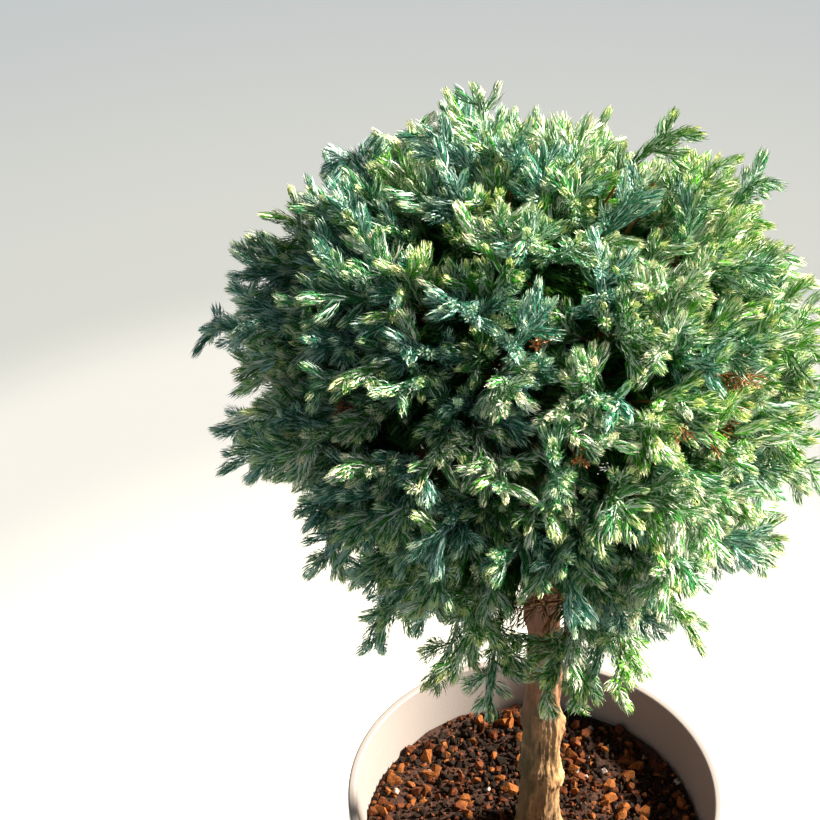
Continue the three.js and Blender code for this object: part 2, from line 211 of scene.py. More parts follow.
# How the tints are shared out: everywhere, and more to the left, right, top and underside. The tints differ
# at random from spray to spray; their lean by side is painted light: blue and teal for shade on the left,
# green and fresh for the sunlit right and top, paler tints underneath for light thrown up from the floor.
TINT_SHARES = {
    "blue": (0.07, 0.34, 0, 0, 0),
    "teal": (0.12, 0.28, 0, 0, 0),
    "silver": (0.20, 0, 0.12, 0.06, 0.15),
    "sage": (0.20, 0, 0, 0, 0.20),
    "green": (0.06, 0, 0.22, 0, 0),
    "fresh": (0.05, 0, 0.24, 0, 0.18),
}
# The bluest tints fade by this share towards the underside: painted light, for the light that the floor
# throws up onto the lowest sprays.
BLUEST, BLUE_FADE = ("blue", "teal"), 0.4
# Distance over which the shares change.
TINT_REACH = 110
NEEDLE_TINTS = (*TINT_SHARES, "inner", "dead")

# Stage, in metres.
KEY_PLACE = (1.58, 0.25, 1.56)
KEY_COLOUR = (1.0, 0.90, 0.75)
FILL_PLACE = (-1.5, -1.2, 1.3)
FILL_COLOUR = (0.86, 0.93, 1.0)
FILL_SIZE = 1.4
LIGHT_AIM = (0, 0, 0.28)
WORLD_COLOUR = (0.80, 0.89, 1.0, 1.0)
# Distances from the plant between which the floor turns from each colour to the next, darker each time:
# painted shade that darkens the floor away from the plant.
FLOOR_NEAR = (0.22, 0.42)
FLOOR_INNER = (0.468, 0.55)
FLOOR_OUTER = (0.55, 0.95)
FLOOR_HALF = 6.0
# The lens is given by its focal length in the picture's own pixels.
FOCAL_PIXELS, PICTURE_PIXELS, SENSOR_WIDTH = 2300, 820, 36.0
CAMERA_PLACE = (-0.0501, -0.6165, 0.8318)
CAMERA_DOWN = 39.38
CLIP_START, CLIP_END = 0.05, 20.0


def unit(vector):
    return vector / np.linalg.norm(vector)


def mix(low, high, share):
    return low + (high - low) * share


class Seeded:
    """The source's own number generator, so that the crown's skeleton is the same."""

    def __init__(self, seed):
        self.state = seed

    def between(self, low, high):
        self.state = (1664525 * self.state + 1013904223) % 4294967296
        return low + (high - low) * self.state / 4294967296


# Settings


def linear(*srgb):
    """A colour given as 0-255 display values, as the linear values that a shader takes."""
    return tuple(
        v / 255 / 12.92 if v / 255 <= 0.04045 else ((v / 255 + 0.055) / 1.055) ** 2.4
        for v in srgb
    )


def toned(shade, amount):
    """A colour made darker, or lighter up to white."""
    return tuple(min(c * amount, 1.0) for c in shade)


def length(name, description, default):
    return bpy.props.FloatProperty(
        name=name, description=description, default=default, unit="LENGTH", min=0.0, precision=5
    )


def number(name, description, default):
    return bpy.props.FloatProperty(name=name, description=description, default=default)


def fraction(name, description, default):
    return bpy.props.FloatProperty(
        name=name, description=description, default=default, subtype="FACTOR", min=0.0, max=1.0
    )


def angle(name, description, degrees):
    return bpy.props.FloatProperty(
        name=name, description=description, default=math.radians(degrees), subtype="ANGLE"
    )


def count(name, description, default):
    return bpy.props.IntProperty(name=name, description=description, default=default, min=1)


def colour(name, description, *srgb):
    shade = linear(*srgb)
    return bpy.props.FloatVectorProperty(
        name=name, description=description, default=shade, subtype="COLOR", size=3, min=0.0, max=1.0
    )


class PotSettings(bpy.types.PropertyGroup):
    rim_radius: length("Rim Radius", "Outside radius of the pot's lip", 0.075)
    foot_radius: length("Foot Radius", "Outside radius of the pot's underside", 0.053)
    height: length("Height", "Height of the pot", 0.128)
    wall: length("Wall", "Thickness of the moulded wall", 0.002)
    lip_width: length("Lip Width", "How wide the rim is", 0.0032)
    lip_depth: length("Lip Depth", "How far the lip comes down the outside", 0.007)
    colour: colour("Colour", "Moulded plastic", 153, 146, 144)


class MixSettings(bpy.types.PropertyGroup):
    spacing: length("Crumb Spacing", "Least distance between the larger crumbs", 0.0034)
    fine_spacing: length("Fine Spacing", "Least distance between the fine crumbs", 0.0017)
    bark_colour: colour("Bark Chips", "Orange-brown composted bark", 130, 76, 34)
    clay_colour: colour("Clay Grains", "Red-brown baked clay", 94, 50, 26)
    peat_colour: colour("Peat", "Dark fibrous peat", 32, 22, 15)
    grit_colour: colour("Grit", "Pale pumice grit", 168, 156, 146)


class WoodSettings(bpy.types.PropertyGroup):
    foot_radius: length("Foot Radius", "Radius of the stem above its root flare", 0.0080)
    relief: length("Bark Relief", "Depth of the bark's stringy furrows", 0.00055)
    light_colour: colour("Ridges", "Dry outer bark on the ridges", 206, 162, 112)
    dark_colour: colour("Furrows", "Bark in the furrows", 62, 45, 33)
    upper_colour: colour("Upper Bark", "Younger, redder bark under the ball", 164, 104, 78)
    # Algae colour, also used as painted shade: darker olive spread over the stem's side away from the key
    # light.
    moss_colour: colour("Algae", "Olive film on the stem's shaded side", 84, 74, 44)
    twig_colour: colour("Twigs", "Red-brown bark of the twigs", 152, 98, 60)


class CrownSettings(bpy.types.PropertyGroup):
    reach: length("Ball Reach", "Mean distance from the ball's middle to its tips", 0.103)
    reach_variation: length("Unevenness", "How far single sprays pass or fall short of it", 0.005)
    side_shoots: count("Side Shoots", "Side shoots on each spray", 7)
    side_length: length("Side Shoot Length", "Length of the lowest side shoots", 0.0190)
    end_length: length("End Shoot Length", "Length of the side shoots at the tip", 0.0094)
    side_angle: angle("Side Angle", "How far the side shoots stand out from the spray", 46)
    sag: angle("Sag", "How far a spray's end bends over", 40)


class NeedleSettings(bpy.types.PropertyGroup):
    length: length("Needle Length", "Length of a full-grown needle", 0.0078)
    width: length("Needle Width", "Width of a needle", 0.00054)
    spacing: length("Needle Spacing", "Length of shoot for each needle", 0.00021)
    shade_size: number("Shade Needle Size", "Size of needles inside the ball, against full-grown ones", 1.6)
    lean_foot: angle("Lean at Foot", "Angle between needle and shoot at the shoot's foot", 20)
    lean_tip: angle("Lean at Tip", "Angle between needle and shoot at the shoot's tip", 16)
    tip_share: fraction("Tip Share", "Share of a shoot from which its needles are young", 0.84)


class StageSettings(bpy.types.PropertyGroup):
    floor_colour: colour("Floor", "Plain pale floor", 200, 202, 196)
    # Painted shade: the floor's outer colours, each darker than the last, darken the floor away from the
    # plant.
    near_colour: colour("Near Floor", "The floor round the pot, a little further out", 145, 149, 154)
    mid_colour: colour("Outer Floor", "The floor round it", 126, 132, 137)
    far_colour: colour("Far Floor", "The floor further out", 113, 121, 131)
    key_strength: number("Key Light", "Strength of the warm side light, in watts a square metre", 15.9)
    key_width: angle("Key Width", "How wide the key light looks from the plant", 10)
    fill_power: number("Front Fill", "Power of the cool light at the front, in watts", 2.6)
    fill_strength: number("Fill Light", "Strength of the cool light all round", 0.14)


# The needles' parts, each with its roughness, and the colours of these parts in each tint.
NEEDLE_PARTS = (("body", 0.42), ("second", 0.48), ("young", 0.44))
TINT_COLOURS = {
    "blue": ((52, 130, 102), (190, 227, 223), (212, 236, 208)),
    "teal": ((46, 126, 68), (192, 223, 206), (217, 237, 183)),
    "silver": ((80, 154, 76), (234, 242, 231), (248, 247, 214)),
    "sage": ((52, 134, 40), (218, 235, 219), (233, 241, 180)),
    "green": ((52, 140, 20), (216, 234, 208), (233, 244, 164)),
    "fresh": ((90, 172, 36), (232, 243, 222), (247, 250, 194)),
    # The inner tint is dark: the older inner foliage's own darker green, with painted shade for the shade
    # inside the ball.
    "inner": ((26, 80, 24), (46, 100, 32), (74, 124, 44)),
    "dead": ((178, 106, 56), (122, 72, 38), (206, 150, 92)),
}


# Node tools


# Outputs that share their name with others are taken by number: Mix's colour, Random Value's float.
MIXED_COLOUR = 2
RANDOM_FLOAT = 1


class Wire:
    """An output socket. Arithmetic on it adds Math nodes to its own tree."""

    def __init__(self, tree, socket):
        self.tree, self.socket = tree, socket

    def maths(self, operation, *values):
        return self.tree.add("ShaderNodeMath", {"operation": operation}, dict(enumerate(values)))

    def __add__(self, other):
        return self.maths("ADD", self, other)

    def __sub__(self, other):
        return self.maths("SUBTRACT", self, other)

    def __mul__(self, other):
        return self.maths("MULTIPLY", self, other)

    def __pow__(self, other):
        return self.maths("POWER", self, other)

    def __rsub__(self, other):
        return self.maths("SUBTRACT", other, self)

    __radd__ = __add__
    __rmul__ = __mul__

    def above(self, other):
        return self.maths("GREATER_THAN", self, other)


class NodeTree:
    """Adds nodes to a material's or a geometry tree through one method."""

    def __init__(self, tree):
        self.tree = tree

    def add(self, kind, settings=None, inputs=None, output=0):
        node = self.tree.nodes.new(kind)
        for name, value in (settings or {}).items():
            if name == "stops":
                self.set_stops(node.color_ramp, value)
            else:
                setattr(node, name, value)
        for key, value in (inputs or {}).items():
            self.connect(node, key, value)
        return Wire(self, node.outputs[output])

    def connect(self, node, key, value):
        socket = node.inputs[key] if isinstance(key, int) else self.find(node, key)
        if isinstance(value, Wire):
            self.tree.links.new(value.socket, socket)
        elif socket.type == "RGBA" and len(value) == 3:
            socket.default_value = (*value, 1.0)
        else:
            socket.default_value = value

    @staticmethod
    def find(node, key):
        shown = [s for s in node.inputs if s.identifier == key] + [
            s for s in node.inputs if s.name == key and s.enabled
        ]
        return shown[0]

    @staticmethod
    def set_stops(ramp, stops):
        for _ in range(len(stops) - 2):
            ramp.elements.new(0.5)
        for element, (place, shade) in zip(ramp.elements, stops):
            element.position = place
            element.color = (*shade, 1.0)


class Finish(NodeTree):
    """A Principled material. Constants are set on the shader's own sockets."""

    def __init__(self, name, **constants):
        self.material = bpy.data.materials.new(name)
        self.material.use_nodes = True
        super().__init__(self.material.node_tree)
        self.shader = next(n for n in self.tree.nodes if n.type == "BSDF_PRINCIPLED")
        self.set(**constants)

    def set(self, **values):
        for name, value in values.items():
            self.connect(self.shader, name.replace("_", " ").title().replace("Ior", "IOR"), value)
        return self

    def place(self):
        return self.add("ShaderNodeTexCoord", {}, {}, "Object")

    def along(self, place, letter):
        return self.add("ShaderNodeSeparateXYZ", {}, {"Vector": place}, letter)

    def stretched(self, place, *scale):
        return self.add("ShaderNodeVectorMath", {"operation": "MULTIPLY"}, {0: place, 1: scale})

    def noise(self, place, scale, detail=3.0, roughness=0.55, warp=0.0):
        return self.add(
            "ShaderNodeTexNoise",
            {},
            {"Vector": place, "Scale": scale, "Detail": detail, "Roughness": roughness, "Distortion": warp},
        )

    def cells(self, place, scale):
        return self.add("ShaderNodeTexVoronoi", {}, {"Vector": place, "Scale": scale}, "Distance")

    def ramp(self, value, *stops):
        return self.add("ShaderNodeValToRGB", {"stops": stops}, {"Fac": value})

    def blend(self, share, first, second):
        return self.add(
            "ShaderNodeMix",
            {"data_type": "RGBA"},
            {"Factor_Float": share, "A_Color": first, "B_Color": second},
            MIXED_COLOUR,
        )

    def steps(self, value, low, high):
        return self.add(
            "ShaderNodeMapRange",
            {"interpolation_type": "SMOOTHSTEP"},
            {"Value": value, "From Min": low, "From Max": high},
        )

    def bump(self, height, strength, distance):
        return self.add(
            "ShaderNodeBump", {}, {"Height": height, "Strength": strength, "Distance": distance}
        )


class Growth(NodeTree):
    """A geometry tree with named inputs, run on a host object to give a plain mesh."""

    def __init__(self, name):
        super().__init__(bpy.data.node_groups.new(name, "GeometryNodeTree"))
        self.tree.interface.new_socket("Geometry", in_out="INPUT", socket_type="NodeSocketGeometry")
        self.tree.interface.new_socket("Geometry", in_out="OUTPUT", socket_type="NodeSocketGeometry")
        self.inlet = self.tree.nodes.new("NodeGroupInput")
        self.outlet = self.tree.nodes.new("NodeGroupOutput")

    def geometry(self):
        return Wire(self, self.inlet.outputs["Geometry"])

    def named_input(self, name, kind, default=None):
        socket = self.tree.interface.new_socket(name, in_out="INPUT", socket_type="NodeSocket" + kind)
        if default is not None:
            socket.default_value = default
        return Wire(self, self.inlet.outputs[name])

    def attribute(self, name):
        return self.add("GeometryNodeInputNamedAttribute", {"data_type": "FLOAT"}, {"Name": name})

    def floats(self, **defaults):
        return [self.named_input(name.replace("_", " "), "Float", value) for name, value in defaults.items()]

    def random(self, low, high, seed):
        return self.add(
            "FunctionNodeRandomValue",
            {"data_type": "FLOAT"},
            {"Min_001": low, "Max_001": high, "Seed": seed},
            RANDOM_FLOAT,
        )

    def turned(self, rotation, axis, turn):
        """A rotation turned further about one of its own axes."""
        step = self.add("FunctionNodeAxisAngleToRotation", {}, {"Axis": axis, "Angle": turn})
        return self.add(
            "FunctionNodeRotateRotation",
            {"rotation_space": "LOCAL"},
            {"Rotation": rotation, "Rotate By": step},
        )

    def stored(self, geometry, name, value):
        return self.add(
            "GeometryNodeStoreNamedAttribute",
            {"data_type": "FLOAT", "domain": "POINT"},
            {"Geometry": geometry, "Name": name, "Value": value},
        )

    def painted(self, geometry, material, selection=True):
        return self.add(
            "GeometryNodeSetMaterial",
            {},
            {"Geometry": geometry, "Material": material, "Selection": selection},
        )

    def realized(self, instances, material):
        """Real faces in place of instances, in one material."""
        return self.painted(self.add("GeometryNodeRealizeInstances", {}, {"Geometry": instances}), material)

    def result(self, geometry):
        self.tree.links.new(geometry.socket, self.outlet.inputs[0])
        return self.tree


def grown(host, tree, name, **values):
    """The plain mesh object that a tree makes of a host. The host and its modifier are removed."""
    modifier = host.modifiers.new(tree.name, "NODES")
    modifier.node_group = tree
    sockets = {
        item.name: item.identifier
        for item in tree.interface.items_tree
        if item.item_type == "SOCKET" and item.in_out == "INPUT"
    }
    for label, value in values.items():
        modifier[sockets[label.replace("_", " ")]] = value
    graph = bpy.context.evaluated_depsgraph_get()
    graph.update()
    mesh = bpy.data.meshes.new_from_object(
        host.evaluated_get(graph), preserve_all_data_layers=True, depsgraph=graph
    )
    host.modifiers.remove(modifier)
    bpy.data.objects.remove(host)
    for attribute in list(mesh.attributes):
        if attribute.name in ("age", "chance", "girth", "vigour"):
            mesh.attributes.remove(attribute)
    return shown(name, mesh)


def shown(name, mesh):
    mesh.name = name
    made = bpy.data.objects.new(name, mesh)
    bpy.context.scene.collection.objects.link(made)
    return made


def mesh_of(name, form):
    """The mesh of a finished bmesh, which is freed."""
    mesh = bpy.data.meshes.new(name)
    form.to_mesh(mesh)
    form.free()
    return mesh


def solid(name, points, faces, material):
    """A smooth mesh object from points in millimetres and faces."""
    mesh = bpy.data.meshes.new(name)
    mesh.from_pydata((np.asarray(points) * MM).tolist(), [], faces, shade_flat=False)
    mesh.materials.append(material)
    return shown(name, mesh)


def joined(finished, slot, *nodes):
    """Rides a finished piece on the part's one body, in place of the nodes that it stands for."""
    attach(finished, "root")
    if nodes:
        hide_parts(*nodes)
    return finished


# Growth rule


@functools.lru_cache(maxsize=1)
def stem_table():
    """The stem's centripetal curve through its bends, as heights and offsets to look up."""
    bends = [np.array(b, float) for b in STEM_BENDS]
    bends = [2 * bends[0] - bends[1], *bends, 2 * bends[-1] - bends[-2]]
    line = []
    for p0, p1, p2, p3 in zip(bends, bends[1:], bends[2:], bends[3:]):
        gaps = [max(np.linalg.norm(b - a) ** 0.5, 1e-4) for a, b in ((p0, p1), (p1, p2), (p2, p3))]
        out = ((p1 - p0) / gaps[0] - (p2 - p0) / (gaps[0] + gaps[1]) + (p2 - p1) / gaps[1]) * gaps[1]
        into = ((p2 - p1) / gaps[1] - (p3 - p1) / (gaps[1] + gaps[2]) + (p3 - p2) / gaps[2]) * gaps[1]
        for t in np.linspace(0, 1, 60):
            line.append(
                p1 + out * t + (3 * (p2 - p1) - 2 * out - into) * t**2 + (2 * (p1 - p2) + out + into) * t**3
            )
    return np.array(line)


def stem_middle(height):
    line = stem_table()
    return np.array(
        [np.interp(height, line[:, 2], line[:, 0]), np.interp(height, line[:, 2], line[:, 1]), height]
    )


def stem_radius(height, turn, foot=STEM_FOOT_RADIUS):
    above = (height - NECK_HEIGHT) / (STEM_HEIGHT - NECK_HEIGHT)
    if above < 0:
        radius = mix(foot, STEM_NECK_RADIUS, height / NECK_HEIGHT)
    else:
        radius = mix(STEM_NECK_RADIUS, STEM_TIP_RADIUS, above)
    radius += ROOT_FLARE * (1 + 0.25 * math.cos(ROOT_RIBS * turn)) * math.exp(-height / ROOT_FLARE_HEIGHT)
    for knot_height, bearing, bulge, spread in KNOTS:
        away = KNOT_TIGHTNESS * (1 - math.cos(turn - math.radians(bearing)))
        along = (height - knot_height) / spread
        radius += bulge * math.exp(-along * along - away)
    return radius


def direction_of(bearing, elevation):
    turn, rise = math.radians(bearing), math.radians(elevation)
    level = math.cos(rise)
    return np.array([level * math.cos(turn), level * math.sin(turn), math.sin(rise)])


def sides_of(direction):
    helper = UP if abs(direction[2]) < 0.7 else np.array([0.0, 1.0, 0.0])
    across = unit(np.cross(helper, direction))
    return across, unit(np.cross(across, direction))


def list_masses():
    """Name, way, the height at which its bough leaves the stem, and the bough's base radius."""
    masses = [("top", UP, None, None)]
    for name, number_of, elevation, bearing, first, base in RINGS:
        for i in range(number_of):
            step = (2 * i) // number_of + (2 * i) % number_of
            way = direction_of(bearing + 360 * i / number_of, elevation)
            masses.append((f"{name}_{i + 1}", way, first + BOUGH_STEP * step, base))
    return masses


def lattice_direction(index, total):
    height = 1 - (2 * index + 1) / total
    level = math.sqrt(1 - height * height)
    return np.array([level * math.cos(index * GOLDEN_ANGLE), level * math.sin(index * GOLDEN_ANGLE), height])


def swell_at(way):
    total = 0.0
    for swells, spread in ((SWELLS, SWELL_SPREAD), (FINE_SWELLS, FINE_SWELL_SPREAD)):
        for bearing, swell in swells:
            rise = math.sin(math.radians(bearing))
            towards = (
                math.cos(math.radians(bearing)),
                rise * math.sin(OUTLINE_PITCH),
                rise * math.cos(OUTLINE_PITCH),
            )
            total += swell * math.exp((float(np.dot(way, towards)) - 1) / spread)
    return total


def in_parting(points):
    lift = points[:, 1] * math.sin(OUTLINE_PITCH) + points[:, 2] * math.cos(OUTLINE_PITCH)
    beside = np.abs(points[:, 0] - PARTING_X) < PARTING_HALF_WIDTH
    return bool(np.any(beside & (points[:, 1] < 0) & (lift < PARTING_BELOW)))


def near_stem(points):
    for point in points:
        height = point[2] + BALL_MIDDLE[2]
        if height <= STEM_HEIGHT:
            middle = stem_middle(height) - BALL_MIDDLE
            if math.hypot(point[0] - middle[0], point[1] - middle[1]) < stem_radius(height, 0) + STEM_ROOM:
                return True
    return False


def bezier(p0, p1, p2, p3, steps):
    t = np.linspace(0, 1, steps + 1)[:, None]
    return p0 * (1 - t) ** 3 + 3 * p1 * t * (1 - t) ** 2 + 3 * p2 * t**2 * (1 - t) + p3 * t**3


def arc(start, way, end_way, run, steps):
    """A short shoot that leaves one way and turns towards another."""
    knee = start + way * run * 0.5
    t = np.linspace(0, 1, steps + 1)[:, None]
    return start * (1 - t) ** 2 + 2 * knee * t * (1 - t) + (knee + end_way * run * 0.5) * t**2


def turned_towards(way, side, turn):
    return way * math.cos(turn) + side * math.sin(turn)


def lowness(point):
    """How far down the ball a point lies: 0 down to its middle, then rising to 1."""
    return np.clip(-point[2] / LOW_DEPTH, 0, 1)


class Crown:
    """The crown's chains of points, in the ball's own millimetres, kind by kind."""

    def __init__(self, reach, variation, side_shoots, side_length, end_length, side_angle, sag):
        self.reach, self.variation, self.side_shoots = reach, variation, side_shoots
        self.side_length, self.end_length = side_length, end_length
        self.side_angle, self.sag = side_angle, sag
        self.random = np.random.default_rng(SEED)
        self.masses = list_masses()
        self.ways = np.array([way for _, way, _, _ in self.masses])
        self.wood = []
        self.green_wood = []
        self.needles = {tint: [] for tint in NEEDLE_TINTS}
        self.is_free = False
        self.grow()

    def grow(self):
        for _, way, leaves, _ in self.masses:
            tip = way * BOUGH_REACH * (0.97 if leaves is not None else 0.9)
            end = way * (FORK_RADIUS + 4)
            self.wood.append((bezier(tip, tip + way * 8, end - way * 6, end, 5), np.linspace(1.6, 0.7, 6)))
        for mass, twigs in enumerate(self.sprays_by_mass()):
            for group in twigs.values():
                self.grow_twig(self.ways[mass], group)
        self.is_free = True
        for root, tip, tint in FREE_SPRAYS:
            self.grow_free(np.array(root, float), np.array(tip, float), tint)
        for spot, spread in DEAD_SPOTS:
            self.grow_dried(np.array(spot, float), spread)

    def sprays_by_mass(self):
        """The source's sprays: their directions, reaches and the mass that each belongs to."""
        seeded = Seeded(SEED)
        owned = [{} for _ in self.masses]
        for twig in range(TWIG_COUNT):
            middle = lattice_direction(twig, TWIG_COUNT)
            across, over = sides_of(middle)
            start = seeded.between(0, SPRAYS_PER_TWIG)
            lift = seeded.between(BOUGH_REACH + 5, FORK_RADIUS)
            for i in range(SPRAYS_PER_TWIG):
                share = start + i + SPRAY_UNEVENNESS * seeded.between(-1, 1)
                spin = 2 * math.pi * share / SPRAYS_PER_TWIG
                way = unit(middle + across * SPRAY_FAN * math.cos(spin) + over * SPRAY_FAN * math.sin(spin))
                reach = self.reach + swell_at(way) + self.variation * seeded.between(-1, 1)
                mass = int(np.argmax(self.ways @ way))
                owned[mass].setdefault(twig, []).append((way, reach, lift))
        return owned

    def grow_dried(self, spot, spread):
        """A few short dried shoots round a spot."""
        random = self.random
        way = unit(spot)
        start = spot - way * spread * 0.9
        self.wood.append((np.array([way * (np.linalg.norm(spot) - 20), start]), np.array([0.8, 0.5])))
        for _ in range(DRIED_SHOOTS):
            leave = unit(way * 0.6 + random.normal(0, 0.55, 3))
            finish = unit(leave + random.normal(0, 0.5, 3))
            shoot = arc(start, leave, finish, spread * random.uniform(0.8, 1.3), 4)
            self.wood.append((shoot, np.linspace(0.35, 0.12, 5)))
            self.add_needles(shoot[1:], "dead", random.uniform(0.25, 0.42))

    def grow_twig(self, mass_way, group):
        """One twig from its mass's stem to its fork, with the sprays that leave the fork."""
        middle = unit(np.sum([way for way, _, _ in group], axis=0))
        fork = unit(mix(middle, mass_way, FORK_PULL)) * FORK_RADIUS
        root = mass_way * group[0][2]
        run = np.linalg.norm(fork - root)
        line = bezier(root, root + mass_way * run * 0.3, fork - unit(fork) * run * 0.4, fork, 5)
        self.wood.append((line, np.linspace(1.0, 0.62, 6)))
        for way, reach, _ in group:
            self.grow_spray(fork, way, reach)
        for _ in range(1 if len(group) == 1 or middle[2] < -0.5 else 3):
            stray = unit(middle + self.random.normal(0, 0.22, 3))
            self.grow_inner(line[3], stray)

    def tangent_hang(self, way, stray):
        """A level way along the ball's surface: down, with some stray to the side."""
        loose = self.random.normal(0, 1, 3)
        droop = 1 + 1.3 * min(way[2], 0)
        hang = -UP * self.random.uniform(0.1, 1.2) * droop + loose * stray
        hang = hang - way * np.dot(hang, way)
        return hang / max(np.linalg.norm(hang), 1e-6)

    def grow_spray(self, fork, way, reach):
        random = self.random
        hang = self.tangent_hang(way, 0.8)
        bend = self.sag * random.uniform(0.1, 1.4)
        shift = random.uniform(2, 14) * bend / self.sag
        kind = random.random()
        if kind < SHORT_SHARE:
            beyond = -random.uniform(*SHORT_BY)
        elif kind > 1 - LONG_SHARE:
            beyond = random.uniform(*LONG_BY)
        else:
            beyond = np.clip(random.normal(USUAL_MEAN, USUAL_SPREAD), *USUAL_LIMITS)
        own_reach = reach - EDGE_INSET + beyond
        tip = unit(way * reach + hang * shift) * own_reach
        tip_way = turned_towards(unit(tip), hang, bend)
        run = np.linalg.norm(tip - fork)
        line = bezier(fork, fork + unit(fork) * run * 0.38, tip - tip_way * run * 0.36, tip, 10)
        thinned = tip[2] < THIN_BELOW and random.random() < THINNED_SHARE
        if not (thinned or self.is_blocked(line[4:]) or near_stem(line[2:])):
            self.clothe_spray(line, way, tip_way, self.tint_at(tip))

    def grow_free(self, root, tip, tint):
        """A spray with its own root and tip, on a twig from inside the ball."""
        run = np.linalg.norm(tip - root)
        self.wood.append((np.array([unit(root) * 40, root]), np.array([1.0, 0.6])))
        line = bezier(root, root + unit(root) * run * 0.5, tip + UP * run * 0.4, tip, 10)
        self.clothe_spray(line, unit(tip), -UP, tint)

    def clothe_spray(self, line, way, tip_way, tint):
        first = 1 if self.is_free else 4
        self.wood.append((line[:6], np.linspace(0.6, 0.4, 6)))
        self.green_wood.append((line[5:], np.linspace(0.4, 0.16, 6)))
        if not self.in_pocket(line[9]):
            self.add_needles(line[first:], tint, SPRAY_VIGOUR)
        self.grow_sides(line, way, tip_way, tint)

    def is_blocked(self, points):
        return not self.is_free and in_parting(points)

    def grow_sides(self, line, way, tip_way, tint):
        random = self.random
        axis = unit(line[9] - line[6])
        outward = way - axis * np.dot(way, axis)
        if np.linalg.norm(outward) < 0.25:
            outward = random.normal(0, 1, 3)
            outward -= axis * np.dot(outward, axis)
        outward = unit(outward)
        roll = random.normal(0, 0.6)
        side = unit(np.cross(axis, outward))
        flat = side * math.cos(roll) + outward * math.sin(roll)
        face = outward * math.cos(roll) - side * math.sin(roll)
        lean = random.choice((-1, 1))
        lowest = FREE_SHOOTS_FROM if self.is_free else SHOOTS_FROM
        low = lowness(line[10])
        for i in range(self.side_shoots):
            along = (i + random.uniform(-0.25, 0.25) + 0.25) / (self.side_shoots - 0.5)
            share = mix(lowest, SHOOTS_TO, along)
            place = share * (len(line) - 1)
            step = min(int(place), len(line) - 2)
            start = mix(line[step], line[step + 1], place - step)
            ahead = unit(line[step + 1] - line[step])
            lift = random.normal(0.15, 0.6)
            across = flat * lean * math.cos(lift) + face * math.sin(lift)
            leave = turned_towards(ahead, unit(across), self.side_angle * random.uniform(0.75, 1.3))
            finish = unit(leave * 0.75 + tip_way * 0.5 + random.normal(0, mix(0.18, 0.5, low), 3))
            run = mix(self.side_length, self.end_length, (share - lowest) / (SHOOTS_TO - lowest))
            run *= random.uniform(0.7, 1.2) * mix(1, 0.76, low)
            self.grow_side(start, leave, finish, run, tint)
            lean = -lean

    def grow_side(self, start, leave, finish, run, tint):
        random = self.random
        shoot = arc(start, leave, finish, run, 4)
        if self.is_blocked(shoot[2:]) or near_stem(shoot[1:]) or self.in_pocket(shoot[4]):
            return
        vigour = random.uniform(*SIDE_VIGOUR) - LOW_WEAKNESS * lowness(start)
        if self.is_dead(shoot[4]):
            tint, vigour = "dead", DEAD_VIGOUR
        elif np.linalg.norm(shoot[4]) < DARK_INSIDE:
            # Partly painted shade: shoots deep inside the ball take the dark inner tint.
            tint = "inner"
        elif random.random() < OWN_TINT_SHARE and not self.is_free:
            tint = self.tint_at(shoot[4])
        self.green_wood.append((shoot[::2], np.linspace(0.3, 0.12, 3)))
        self.add_needles(shoot, tint, vigour)
        if run > FORKED_RUN:
            across = unit(np.cross(leave, random.normal(0, 1, 3)))
            for joint, hand in ((1, -1), (2, 1)):
                twist = unit(leave * 0.8 + across * hand * random.uniform(0.5, 0.85))
                small_run = run * random.uniform(0.42, 0.6)
                small = arc(shoot[joint], twist, unit(twist + finish), small_run, 2)
                self.green_wood.append((small[::2], np.linspace(0.2, 0.1, 2)))
                self.add_needles(small, tint, vigour * random.uniform(0.8, 0.95))

    def grow_inner(self, start, way):
        """A shaded shoot inside the ball, with side shoots spread wide."""
        random = self.random
        end = way * random.uniform(*INNER_REACH)
        hang = self.tangent_hang(way, 0.9)
        run = np.linalg.norm(end - start)
        line = bezier(start, start + way * run * 0.3, end - unit(way + hang * 0.8) * run * 0.4, end, 6)
        if in_parting(line[2:]) or near_stem(line[1:]):
            return
        self.wood.append((line, np.linspace(0.5, 0.25, 7)))
        self.add_needles(line[1:], "inner", INNER_VIGOUR)
        axis = unit(line[5] - line[3])
        across, over = sides_of(axis)
        for i in range(INNER_SIDES):
            turn = i * GOLDEN_ANGLE + random.uniform(0, 1)
            side = turned_towards(across, over, turn)
            leave = turned_towards(axis, side, random.uniform(0.8, 1.35))
            start = line[1 + i * 5 // INNER_SIDES]
            shoot = arc(start, leave, unit(leave + axis * 0.4), random.uniform(*INNER_SIDE_RUN), 3)
            if not (in_parting(shoot) or near_stem(shoot)):
                self.green_wood.append((shoot[::3], np.linspace(0.3, 0.15, 2)))
                self.add_needles(shoot, "inner", INNER_VIGOUR)

    def add_needles(self, line, tint, vigour):
        self.needles[tint].append((line, np.full(len(line), vigour)))

    def is_dead(self, point):
        return any(
            np.linalg.norm(point - np.array(spot)) < spread * DRIED_SHARE for spot, spread in DEAD_SPOTS
        )

    def in_pocket(self, point):
        """Whether a point lies over a dried shoot, where the foliage has opened."""
        for spot, spread in DEAD_SPOTS:
            way, depth = unit(np.array(spot)), np.linalg.norm(spot)
            over = np.dot(point, way)
            if over > depth + POCKET_ABOVE and np.linalg.norm(point - way * over) < spread * POCKET_SHARE:
                return True
        return False

    def tint_at(self, point):
        """Bluer to the left, greener to the right and higher up, paler underneath, silver anywhere outside.
        This lean
        by side is painted light: blue for the shaded left, green for the sunlit right, paler for light from
        the floor.
        """
